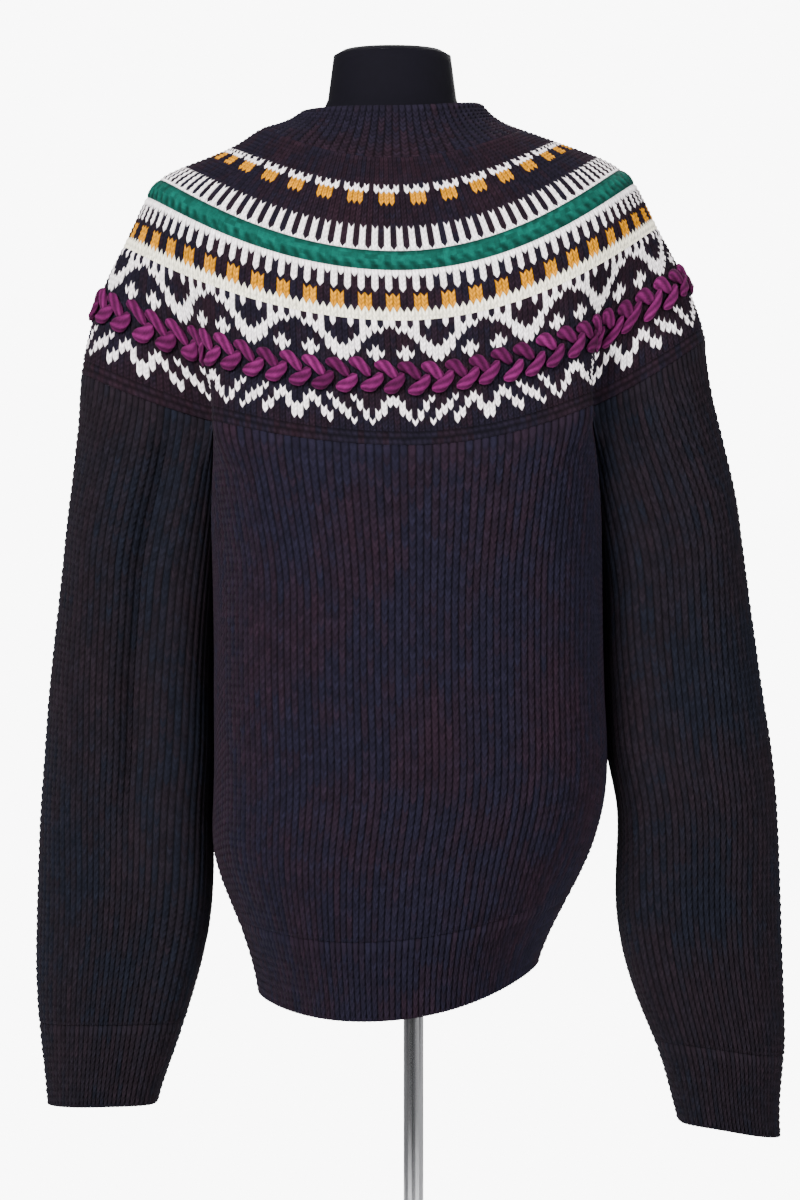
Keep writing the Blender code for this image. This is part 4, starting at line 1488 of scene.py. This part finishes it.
@dataclass(frozen=True)
class MetalFinish:
    """Metal with a faint uneven polish."""

    name: str
    colour: tuple
    roughness: float
    uneven: float
    stretch: tuple
    # the darker polish, as a share of the colour
    dull: float = 0.9

    def build(self) -> bpy.types.Material:
        """Make the material: stretched noise moves the roughness and the tone a little."""
        made, tree, shader = material(self.name, Metallic=1.0)
        place = node(tree, "TexCoord").outputs["Object"]
        scaled = node(tree, "Mapping", place, Scale=self.stretch)
        noise = node(tree, "TexNoise", scaled.outputs[0], Scale=1.0, Detail=3.0).outputs["Fac"]
        least, most = self.roughness * (1.0 - self.uneven), self.roughness * (1.0 + self.uneven)
        rough = node(tree, "MapRange", noise, To_Min=least, To_Max=most)
        dark = (*[c * self.dull for c in self.colour], 1.0)
        passed_by = [None] * 5
        tone = node(tree, "Mix", noise, *passed_by, dark, (*self.colour, 1.0), data_type="RGBA")
        tree.links.new(rough.outputs[0], shader.inputs["Roughness"])
        tree.links.new(tone.outputs[2], shader.inputs["Base Color"])
        return made


def declare(made: bpy.types.Object, nodes: tuple) -> None:
    """Let a piece ride on the body and stand for its nodes."""
    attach(made, BODY)
    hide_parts(*nodes)


def knit(wall: KnitWall, wool: bpy.types.Material, node_name: str) -> tuple:
    piece = wall.build(wool)
    declare(piece, (node_name,))
    return piece, wall


@dataclass
class Yoke:
    """Round yoke in stranded colour knitting, with its collar and its raised plait."""

    cut: Cut
    wool: bpy.types.Material
    upper_stitches: int = 216
    lower_stitches: int = 256
    parting: float = 0.587
    relief: float = 0.0010
    groove: float = 0.0004
    # stitches where the repeats begin, so that they lie about the front's middle
    star_start: int = -4
    dots_start: int = -2
    axis: int = -2
    purl_rows: int = 2
    collar_stitches: int = 96
    collar_rows: int = 12
    collar_relief: float = 0.0010
    collar_dip: float = 0.8
    tint: tuple = (1.0, 0.88, 0.82)
    # share of the yoke where each band ends, and its stitch rows
    upper_bands: tuple = (
        (0.105, 7),
        (0.171, 5),
        (0.2575, 5),
        (0.350, 5),
        (0.417, 4),
        (0.541, 8),
        (0.587, 2),
    )
    lower_bands: tuple = (
        (0.717, 8),
        (0.836, 8),
        (0.925, 6),
        (0.957, 2),
        (1.0, 2),
    )

    @staticmethod
    def edges(start: float, bands: tuple) -> np.ndarray:
        """Shares of the row edges: each band's rows lie evenly between its ends.

        Args:
            start: Share where the first band starts.
            bands: End and rows of each band.

        Returns:
            One share for each edge.
        """
        parts = [np.array([start])]
        for end, rows in bands:
            parts.append(np.linspace(start, end, rows + 1)[1:])
            start = end
        return np.concatenate(parts)

    @staticmethod
    def blank(rows: int, stitches: int) -> np.ndarray:
        """Rows of ground yarn."""
        return np.full((rows, stitches), ".")

    def banded(
        self, name: str, shares: np.ndarray, letters: np.ndarray, works: tuple, seed: int
    ) -> KnitWall:
        """A part of the yoke, from its charted bands.

        Args:
            name: The piece's name.
            shares: Shares of the yoke at the edges of its stitch rows.
            letters: One letter for each row and stitch.
            works: How each row is worked, or none where all are plain.
            seed: Seed of its ground yarn, from which the other two follow.

        Returns:
            The wall.
        """
        rows, count = letters.shape
        ground = Heather(seed=seed, tint=self.tint).field(rows, count)
        return KnitWall(
            name=name,
            surface=self.cut.yoke,
            shares=shares,
            columns=np.arange(count + 1) / count,
            yarns=Chart.colours(letters, ground, seed + 10),
            relief=self.relief,
            groove=self.groove,
            works=works,
            seed=seed + 20,
        )

    def build_upper(self) -> KnitWall:
        """The part above the V band, with stars, combs, the green welt, dots and a stripe."""
        count = self.upper_stitches
        parts = [
            self.blank(7, count),
            Chart.letters(Chart.star, count, self.star_start),
            self.blank(5, count),
            Chart.letters(Chart.upper_comb, count, 0),
            Chart.letters(Chart.green, count, 0),
            Chart.letters(Chart.lower_comb, count, 0),
            self.blank(1, count),
            Chart.letters(Chart.dots, count, self.dots_start),
            Chart.letters(Chart.cream, count, 0),
        ]
        above = sum(len(part) for part in parts[:4])
        below = sum(len(part) for part in parts[5:])
        plain, welt = (Stitch.KNIT,), (Stitch.WELT,)
        works = plain * above + welt * len(Chart.green) + plain * below
        shares = self.edges(0.0, self.upper_bands)
        return self.banded("yoke_upper", shares, np.concatenate(parts), works, 11)

    def build_lower(self) -> KnitWall:
        """The part below, with the V band, the plait's ground, the chevrons and purl ridges."""
        count = self.lower_stitches
        half = len(Chart.vees[0])
        parts = [
            Chart.letters(Chart.vees, count, self.axis + half, mirrored=True),
            self.blank(8, count),
            Chart.letters(Chart.chevrons, count, self.axis, mirrored=True),
            self.blank(4, count),
        ]
        letters = np.concatenate(parts)
        purl = (Stitch.PURL,) * self.purl_rows
        works = (Stitch.KNIT,) * (len(letters) - self.purl_rows) + purl
        shares = self.edges(self.parting, self.lower_bands)
        return self.banded("yoke_lower", shares, letters, works, 12)

    def build_collar(self) -> KnitWall:
        """Ribbed collar."""
        rows, stitches = self.collar_rows, self.collar_stitches
        return KnitWall(
            name="collar_rib",
            surface=self.cut.collar,
            shares=np.linspace(0.0, 1.0, rows + 1),
            columns=np.arange(stitches + 1) / stitches,
            yarns=Heather(seed=13, tint=self.tint).field(rows, stitches),
            relief=self.collar_relief,
            groove=self.collar_relief,
            dip=self.collar_dip,
            seed=33,
        )

    def build(self) -> list:
        """Build the collar and the yoke's two parts."""
        return [
            knit(self.build_collar(), self.wool, "collar"),
            knit(self.build_upper(), self.wool, "yoke"),
            knit(self.build_lower(), self.wool, "yoke"),
        ]


@dataclass
class Plait:
    """Raised plait round the yoke: pairs of plump loops that lean against each other."""

    cut: Cut
    wool: bpy.types.Material
    pairs: int = 64
    top: float = 0.722
    foot: float = 0.832
    thickness: float = 0.0046
    half_width: float = 0.0052
    along: int = 14
    around: int = 20
    strands: int = 4
    strand_depth: float = 0.24
    twist: float = 2.6
    girth: float = 1.17
    depth: float = 0.232
    # start and end of each loop of a pair: share of the pitch, share of the plait's height
    loops: tuple = (((-0.74, 0.12), (0.20, 0.60)), ((-0.34, 0.94), (0.60, 0.42)))
    jitter: float = 0.03
    bow: float = 0.10
    plump_power: float = 0.36
    # height of the loops' middle lines and by how much the second lies above the first,
    # and their half thickness, as shares of the thickness
    seat: float = 0.50
    overlap: float = 0.12
    half_height: float = 0.62
    shade_from: float = 0.60
    shade_range: float = 0.75
    # painted shade mask on top of a strand, and its share on a loop's flanks and underside,
    # where it lies on the yoke
    shade_mask_top: float = 0.8
    shade_mask_underside: float = 0.45
    # lines and columns of the yoke's surface that are read for it, and how far past its edges
    read_lines: int = 24
    read_columns: int = 1024
    margin: float = 0.03

    def build(self) -> bpy.types.Object:
        """Each loop is a closed spindle along a short line on the yoke, round in section.

        Its half width is that of the middle times a root of the sine along its length, less
        the grooves between its strands, which turn along it. It bulges outwards from the yoke.
        """
        rows = np.linspace(self.top - self.margin, self.foot + self.margin, self.read_lines)
        columns = np.arange(self.read_columns) / self.read_columns
        points = self.cut.yoke(rows, columns)
        normal = normals(self.cut.yoke, rows, columns)
        random = np.random.default_rng(7)
        pair = np.arange(self.pairs)
        t = np.linspace(0.0, 1.0, self.along)
        turn = np.arange(self.around) / self.around * 2.0 * math.pi
        plump = np.maximum(np.sin(t * math.pi), 0.0) ** self.plump_power
        strands = np.cos(self.strands * (turn[None, :] + self.twist * t[:, None]))
        lobes = 1.0 - self.strand_depth * (0.5 + 0.5 * strands)
        full = (plump[:, None] * lobes)[None]
        # painted shade on the loops: darker in the grooves between the strands, and on each loop's
        # flanks and underside, where it lies on the yoke
        groove = (lobes - 1.0 + self.strand_depth) / self.strand_depth
        rise = self.shade_mask_underside + (1.0 - self.shade_mask_underside) * np.maximum(np.sin(turn), 0.0)
        painted_shade_mask = self.shade_mask_top * groove * rise[None, :]
        vertices, colours = [], []
        for which, ((u0, v0), (u1, v1)) in enumerate(self.loops):
            jitter = random.normal(0.0, self.jitter, (self.pairs, 4))
            u = (u0 + jitter[:, :1]) + (u1 - u0 + jitter[:, 1:2]) * t[None, :]
            v = (v0 + jitter[:, 2:3]) + (v1 - v0 + jitter[:, 3:4]) * t[None, :]
            bow = self.bow * np.sin(t * math.pi)
            v = v + (bow if which else -bow)[None, :]
            column = (pair[:, None] + 0.5 + u) / self.pairs
            row = self.top + (self.foot - self.top) * v
            du = (u1 - u0) / self.pairs * self.girth
            dv = (v1 - v0) * (self.foot - self.top) * self.depth
            length = math.hypot(du, dv)
            side = self.half_width * full * np.cos(turn)[None, None, :]
            lift = self.thickness * (self.seat + self.overlap * which) + (
                self.thickness * full * np.sin(turn)[None, None, :] * self.half_height
            )
            column = column[:, :, None] - side * dv / length / self.girth
            row = row[:, :, None] + side * du / length / self.depth
            base = self.read(points, rows, row, column)
            out = self.read(normal, rows, row, column)
            vertices.append(base + out * np.broadcast_to(lift, column.shape)[..., None])
            shade = self.shade_from + self.shade_range * random.random((self.pairs, 1))
            colours.append(np.array(Tone.MAGENTA.value)[None, :] * shade)
        grid = np.concatenate(vertices)
        return self.mesh(grid, np.concatenate(colours), np.tile(painted_shade_mask.ravel(), len(grid)))

    @staticmethod
    def read(
        grid: np.ndarray, rows: np.ndarray, row: np.ndarray, column: np.ndarray
    ) -> np.ndarray:
        """Values between the points of a grid, weighted by nearness along both ways.

        Args:
            grid: Values at its lines and columns, closed all round.
            rows: Share of the yoke at each line.
            row: Shares of the yoke to read at.
            column: Shares of the girth to read at.

        Returns:
            The values there.
        """
        count = grid.shape[1]
        place = np.interp(row, rows, np.arange(len(rows)))
        low = np.minimum(place.astype(int), len(rows) - 2)
        down = (place - low)[..., None]
        turn = np.mod(column, 1.0) * count
        near = turn.astype(int) % count
        across = (turn - np.floor(turn))[..., None]
        far = (near + 1) % count
        upper = grid[low, near] * (1.0 - across) + grid[low, far] * across
        under = grid[low + 1, near] * (1.0 - across) + grid[low + 1, far] * across
        return upper * (1.0 - down) + under * down

    def mesh(self, grid: np.ndarray, tone: np.ndarray, painted_shade_mask: np.ndarray) -> bpy.types.Object:
        """Join the loops' rings into closed spindles, and give them their yarn colour and painted
        shade.

        Args:
            grid: Points of every loop, ring and strand.
            tone: Colour of each loop.
            painted_shade_mask: Mask of painted shade at each point.

        Returns:
            The plait.
        """
        loops, along, around = grid.shape[:3]
        first = (np.arange(loops) * along * around)[:, None]
        tube = net(along, around, around)[:, [0, 3, 2, 1]]
        quads = (first[:, :, None] + tube[None]).reshape(-1, 4)
        fan = np.arange(1, around - 1)[None, :]
        last = first + (along - 1) * around
        caps = [
            np.stack([first + 0 * fan, first + fan + 1, first + fan], axis=-1).reshape(-1, 3),
            np.stack([last + 0 * fan, last + fan, last + fan + 1], axis=-1).reshape(-1, 3),
        ]
        made = add_mesh("yoke_plait", grid.reshape(-1, 3), quads, np.concatenate(caps), self.wool)
        recalculate(made)
        colour = np.repeat(tone, along * around, axis=0)
        rgba = np.concatenate([colour, np.ones((len(colour), 1))], axis=1)
        layer = made.data.color_attributes.new("yarn", "FLOAT_COLOR", "POINT")
        layer.data.foreach_set("color", rgba.astype(np.float32).ravel())
        # the mask of painted shade, which the wool material reads
        mark = made.data.attributes.new("painted_shade_mask", "FLOAT", "POINT")
        mark.data.foreach_set("value", painted_shade_mask.astype(np.float32))
        declare(made, ("yoke",))
        return made


def recalculate(made: bpy.types.Object) -> None:
    """Turn the faces of each closed shell outwards.

    Args:
        made: The piece.
    """
    edit = bmesh.new()
    edit.from_mesh(made.data)
    bmesh.ops.recalc_face_normals(edit, faces=edit.faces)
    edit.to_mesh(made.data)
    edit.free()


@dataclass
class FineRib:
    """Fine vertical ribs of body and sleeves: how they are knitted, and where they lie flat."""

    dip: float = 0.85
    waist: float = 0.50
    seam_fade: float = 0.0300
    contact_fade: float = 0.12
    flattest: float = 0.25

    def wall(self, name: str, surface: Surface, yarns: np.ndarray, **values: object) -> KnitWall:
        """A wall with one stitch column to a rib.

        Args:
            name: The piece's name.
            surface: Its surface.
            yarns: Colour of each row and stitch.
            **values: The wall's other fields.

        Returns:
            The wall.
        """
        rows, ribs = yarns.shape[:2]
        values.setdefault("columns", np.arange(ribs + 1) / ribs)
        shares = np.linspace(0.0, 1.0, rows + 1)
        given = {"shares": shares, "dip": self.dip, "waist": self.waist, **values}
        return KnitWall(name=name, surface=surface, yarns=yarns, **given)

    def strength(
        self, rows: np.ndarray, beside: np.ndarray, contact: float, length: float
    ) -> np.ndarray:
        """Strength of the relief: weaker at the top seam and where arm and body touch.

        Args:
            rows: Shares of the piece's length.
            beside: How far each column is on the touching side, from 0 to 1.
            contact: Share of the length where they part.
            length: The piece's length.

        Returns:
            One share for each row and column.
        """
        together = 1.0 - smooth((rows - contact) / self.contact_fade)[:, None]
        seam = smooth(rows * length / self.seam_fade)[:, None]
        return self.flattest + (1.0 - self.flattest) * seam * (1.0 - beside[None, :] * together)


@dataclass
class Body:
    """Front and back in fine rib, and the hem band below them."""

    cut: Cut
    wool: bpy.types.Material
    rib: FineRib
    ribs: int = 88
    rows: int = 66
    hem_rows: int = 10
    relief: float = 0.0011
    groove: float = 0.0012
    hem_groove: float = 1.2
    arm_width: float = 0.10
    contact: float = 0.80
    length: float = 0.3600
    tint: tuple = (0.86, 0.84, 0.84)

    def fade(self, rows: np.ndarray, columns: np.ndarray) -> np.ndarray:
        """Strength of the relief, weaker within a share of the girth about each side."""
        from_side = np.abs(np.mod(columns, 0.5) - 0.25)
        beside = smooth(1.0 - from_side / self.arm_width)
        return self.rib.strength(rows, beside, self.contact, self.length)

    def build(self) -> list:
        """Build the two panels and the band."""
        ribs, rows = self.ribs, self.rows
        yarns = Heather(seed=41, tint=self.tint).field(rows + self.hem_rows, 2 * ribs)
        walls = []
        for part, (name, start) in enumerate((("front", -0.25), ("back", 0.25))):
            wall = self.rib.wall(
                f"{name}_rib",
                self.cut.body,
                yarns[:rows, part * ribs : (part + 1) * ribs],
                columns=start + 0.5 * np.arange(ribs + 1) / ribs,
                closed=False,
                relief=self.relief,
                groove=self.groove,
                fade=self.fade,
                seed=51 + part,
            )
            walls.append((wall, name))
        hem = self.rib.wall(
            "hem_rib",
            self.cut.hem,
            yarns[rows:],
            columns=-0.25 + np.arange(2 * ribs + 1) / (2 * ribs),
            relief=self.relief,
            groove=self.groove * self.hem_groove,
            seed=53,
        )
        walls.append((hem, "hem_band"))
        return [knit(wall, self.wool, name) for wall, name in walls]


@dataclass
class Sleeve:
    """One sleeve in fine rib, and its cuff."""

    cut: Cut
    wool: bpy.types.Material
    rib: FineRib
    right: bool
    seed: int
    contact: float
    ribs: int = 76
    rows: int = 86
    cuff_rows: int = 12
    relief: float = 0.0012
    groove: float = 0.0013
    # strength of the touching side at the middle of the front, and its change by a sine
    side_middle: float = 0.5
    side_swing: float = 1.2
    length: float = 0.4600
    tint: tuple = (0.62, 0.78, 0.64)

    def fade(self, rows: np.ndarray, columns: np.ndarray) -> np.ndarray:
        """Strength of the relief, weaker on the side next to the body."""
        swing = self.side_swing * (1.0 if self.right else -1.0)
        beside = smooth(self.side_middle - swing * np.sin(columns * 2.0 * math.pi))
        return self.rib.strength(rows, beside, self.contact, self.length)

    def build(self) -> list:
        """Build the sleeve and its cuff."""
        side = "right" if self.right else "left"
        total = self.rows + self.cuff_rows
        yarns = Heather(seed=self.seed, tint=self.tint).field(total, self.ribs)
        sleeve = self.rib.wall(
            f"sleeve_{side}_rib",
            self.cut.sleeve(self.right),
            yarns[: self.rows],
            relief=self.relief,
            groove=self.groove,
            fade=self.fade,
            seed=self.seed + 6,
        )
        cuff = self.rib.wall(
            f"cuff_{side}_rib",
            self.cut.cuff(self.right),
            yarns[self.rows :],
            relief=self.relief,
            groove=self.groove,
            seed=self.seed + 7,
        )
        return [
            knit(sleeve, self.wool, f"sleeve_{side}"),
            knit(cuff, self.wool, f"cuff_{side}"),
        ]


@dataclass
class Form:
    """Limbless torso and neck that fill the sweater out."""

    cut: Cut
    jersey: bpy.types.Material
    columns: int = 96
    rows_between: int = 3
    power: float = 2.15
    seat_gap: float = 0.0004
    front_ease: float = 0.0060
    shoulder_rows: tuple = (0.0, 0.12, 0.25, 0.34, 0.42)
    fall: tuple = (0.0004, 0.0, 0.0, 0.0004, 0.0030)
    # height at front, side and back, half width, front depth, back depth, middle x
    neck: tuple = (
        (1.3000, 1.3000, 1.3000, 0.0200, 0.0200, 0.0200, -0.0170),
        (1.2985, 1.2985, 1.2985, 0.0400, 0.0390, 0.0390, -0.0170),
        (1.2945, 1.2945, 1.2945, 0.0470, 0.0460, 0.0460, -0.0170),
        (1.2750, 1.2750, 1.2750, 0.0495, 0.0485, 0.0485, -0.0170),
        (1.2560, 1.2600, 1.2620, 0.0515, 0.0500, 0.0500, -0.0170),
        (1.2360, 1.2490, 1.2480, 0.0560, 0.0520, 0.0520, -0.0170),
        (1.2180, 1.2400, 1.2340, 0.0700, 0.0590, 0.0570, -0.0170),
    )
    torso: tuple = (
        (1.0850, 1.1600, 1.1000, 0.1840, 0.1140, 0.1060, -0.0150),
        (1.0450, 1.1000, 1.0600, 0.1690, 0.1170, 0.1080, -0.0130),
        (0.9900, 1.0250, 1.0000, 0.1380, 0.1180, 0.1090, -0.0090),
        (0.9300, 0.9400, 0.9300, 0.1300, 0.1170, 0.1080, -0.0060),
        (0.8000, 0.8000, 0.8000, 0.1240, 0.1130, 0.1050, -0.0050),
        (0.6800, 0.6800, 0.6800, 0.1180, 0.1080, 0.1010, -0.0060),
        (0.6150, 0.6150, 0.6150, 0.1040, 0.1000, 0.0930, -0.0100),
        (0.6000, 0.6000, 0.6000, 0.0960, 0.0940, 0.0870, -0.0100),
        (0.5950, 0.5950, 0.5950, 0.0840, 0.0840, 0.0780, -0.0100),
    )

    def rings(self, table: tuple, columns: np.ndarray) -> np.ndarray:
        """Rings of the form from rows of its sizes.

        Args:
            table: Sizes of each ring.
            columns: Shares of the girth.

        Returns:
            One point for each ring and column.
        """
        rows = np.array(table)
        front = np.stack([rows[:, 4], rows[:, 0]], axis=1)
        side = np.stack([rows[:, 3], rows[:, 1]], axis=1)
        back = np.stack([rows[:, 5], rows[:, 2]], axis=1)
        power = np.full(len(rows), self.power)
        dense = self.cut.saddle_ring(front, back, side, side, rows[:, 6], power)
        return self.cut.even_columns(dense, columns)

    def build(self) -> bpy.types.Object:
        """Rings from the neck's top to the torso's underside, with smooth rings between."""
        columns = np.arange(self.columns) / self.columns
        ease = self.front_ease * np.cos(columns * 2.0 * math.pi) ** 2
        under = WALL + self.seat_gap + ease[None, :] + np.array(self.fall)[:, None]
        rows = np.array(self.shoulder_rows)
        shoulders = self.cut.yoke(rows, columns)
        shoulders = shoulders - normals(self.cut.yoke, rows, columns) * under[:, :, None]
        rings = [self.rings(self.neck, columns), shoulders, self.rings(self.torso, columns)]
        known = np.concatenate(rings)
        steps = np.linalg.norm(np.diff(known, axis=0), axis=2).mean(axis=1)
        run = np.concatenate([[0.0], np.cumsum(steps)])
        whole = np.arange((len(run) - 1) * self.rows_between + 1) / self.rows_between
        places = np.interp(whole, np.arange(len(run)), run)
        lines = known.reshape(len(run), -1).T
        grid = np.stack([np.interp(places, run, line) for line in lines], axis=1)
        grid = grid.reshape(len(places), self.columns, 3)
        made = ring_solid("form_jersey", grid, self.jersey)
        declare(made, ("form_torso",))
        return made


@dataclass
class Stand:
    """Chrome pole in its socket, and the round plate."""

    chrome: bpy.types.Material
    steel: bpy.types.Material
    steps: int = 160
    sharp_degrees: float = 50.0
    # radius, height
    profile: tuple = (
        (0.0082, 0.0300),
        (0.0150, 0.0300),
        (0.0164, 0.0294),
        (0.0170, 0.0280),
        (0.0170, 0.0100),
        (0.0176, 0.0086),
        (0.0190, 0.0080),
        (0.1680, 0.0080),
        (0.1694, 0.0074),
        (0.1700, 0.0060),
        (0.1700, 0.0000),
    )

    def build(self) -> bpy.types.Object:
        """Turn the plate's profile about the pole, and dress the pole's own node."""
        radius, height = np.array(self.profile).T
        turn = np.arange(self.steps) / self.steps * 2.0 * math.pi
        x = radius[:, None] * np.cos(turn)[None, :]
        y = radius[:, None] * np.sin(turn)[None, :]
        z = np.broadcast_to(height[:, None], x.shape)
        made = ring_solid("base_plate", np.stack([x, y, z], axis=2), self.steel)
        made.data.set_sharp_from_angle(angle=math.radians(self.sharp_degrees))
        declare(made, ("stand_base",))
        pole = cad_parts["stand_pole"]
        pole.data.materials.clear()
        pole.data.materials.append(self.chrome)
        return made


@dataclass
class Studio:
    """Pale floor, soft lights and the camera at the photograph's place."""

    camera_at: tuple = (-0.0108, -3.0, 0.860)
    lens: float = 112.5
    floor_half: float = 2.1
    backdrop: float = 9.0
    # glow of the room in front, added towards +Y, and added towards +X
    dim_glow: float = 0.08
    rear_glow: float = 0.20
    side_glow: float = 0.45
    floor_grey: float = 0.80
    floor_roughness: float = 0.8
    aim: tuple = (0.0, 0.0, 0.85)
    # name, place, size, power
    lights: tuple = (
        ("key", (-1.6, -2.6, 2.6), 1.6, 380.0),
        ("fill", (2.2, -2.2, 1.4), 1.8, 130.0),
        ("back", (0.3, 2.6, 2.2), 1.8, 170.0),
    )

    @staticmethod
    def put(data: bpy.types.ID, at: tuple, turn: tuple) -> bpy.types.Object:
        """Put a light or the camera in the scene, turned by the angles.

        Args:
            data: Its settings.
            at: Its place.
            turn: Its angles.

        Returns:
            The new object.
        """
        made = bpy.data.objects.new(data.name, data)
        made.location = at
        made.rotation_euler = turn
        bpy.context.scene.collection.objects.link(made)
        return made

    def add_floor(self) -> None:
        """A pale square that belongs to the stage."""
        half = self.floor_half
        corners = np.array([[-half, -half, 0], [half, -half, 0], [half, half, 0], [-half, half, 0]])
        grey = (self.floor_grey, self.floor_grey, self.floor_grey, 1.0)
        pale = material("floor_pale", Base_Color=grey, Roughness=self.floor_roughness)[0]
        square = np.array([[0, 1, 2, 3]])
        add_mesh("floor", corners, square, np.zeros((0, 3), int), pale)

    def add_light(self, name: str, at: tuple, size: float, power: float) -> None:
        """A square light that looks at the sweater's middle.

        Args:
            name: Its name.
            at: Its place.
            size: Length of its side.
            power: Its watts.
        """
        light = bpy.data.lights.new(name, "AREA")
        light.energy = power
        light.size = size
        x, y, z = np.array(self.aim) - np.array(at)
        down = math.atan2(math.hypot(x, y), -z)
        self.put(light, at, (down, 0.0, math.atan2(y, x) - math.pi / 2.0))

    def add_world(self) -> None:
        """A bright backdrop for the camera, and for the lighting a glow that grows.

        The glow is the dim one, plus the rear one times one more than the share towards +Y,
        plus the side one times the share towards +X.
        """
        world = bpy.data.worlds.new("studio")
        world.use_nodes = True
        tree = world.node_tree
        backdrop = tree.nodes["Background"]
        backdrop.inputs["Color"].default_value = (1.0, 1.0, 1.0, 1.0)
        place = node(tree, "TexCoord").outputs["Generated"]
        way = node(tree, "SeparateXYZ", place).outputs
        right = node(tree, "Math", way["X"], 0.0, operation="MAXIMUM").outputs[0]
        least = self.dim_glow + self.rear_glow
        sum_up = "MULTIPLY_ADD"
        sides = node(tree, "Math", right, self.side_glow, least, operation=sum_up)
        glow = node(tree, "Math", way["Y"], self.rear_glow, sides.outputs[0], operation=sum_up)
        seen = node(tree, "LightPath").outputs["Is Camera Ray"]
        strength = node(tree, "Mix", seen, None, glow.outputs[0], self.backdrop, data_type="FLOAT")
        tree.links.new(strength.outputs[0], backdrop.inputs["Strength"])
        bpy.context.scene.world = world

    def build(self) -> None:
        """Make the floor, the lights, the world and the camera."""
        self.add_floor()
        for light in self.lights:
            self.add_light(*light)
        self.add_world()
        camera = bpy.data.cameras.new("camera")
        camera.lens = self.lens
        bpy.context.scene.camera = self.put(camera, self.camera_at, (math.pi / 2.0, 0.0, 0.0))


def main() -> None:
    logging.basicConfig(level=logging.INFO, format="%(message)s")
    cut = Cut()
    fibre = FibreGroup().build()
    wool = WoolFinish("wool_yarn", fibre).build()
    jersey = JerseyFinish("form_jersey", fibre).build()
    chrome = MetalFinish("pole_chrome", (0.50, 0.50, 0.52), 0.12, 0.25, (60.0, 60.0, 6.0)).build()
    steel = MetalFinish("base_steel", (0.45, 0.45, 0.46), 0.32, 0.2, (40.0, 40.0, 40.0)).build()
    knitted = Yoke(cut, wool).build()
    plait = Plait(cut, wool).build()
    rib = FineRib()
    knitted += Body(cut, wool, rib).build()
    knitted += Sleeve(cut, wool, rib, right=True, seed=60, contact=0.55).build()
    knitted += Sleeve(cut, wool, rib, right=False, seed=70, contact=0.72).build()
    form = Form(cut, jersey).build()
    plate = Stand(chrome, steel).build()
    for piece, wall in knitted:
        LOG.info("%s: cut %s m, area %s m2, %d faces", piece.name, wall.flat, wall.area,
                 len(piece.data.polygons))
    for piece in (plait, form, plate):
        LOG.info("%s: %d faces", piece.name, len(piece.data.polygons))
    Studio().build()


if __name__ == "__main__":
    main()
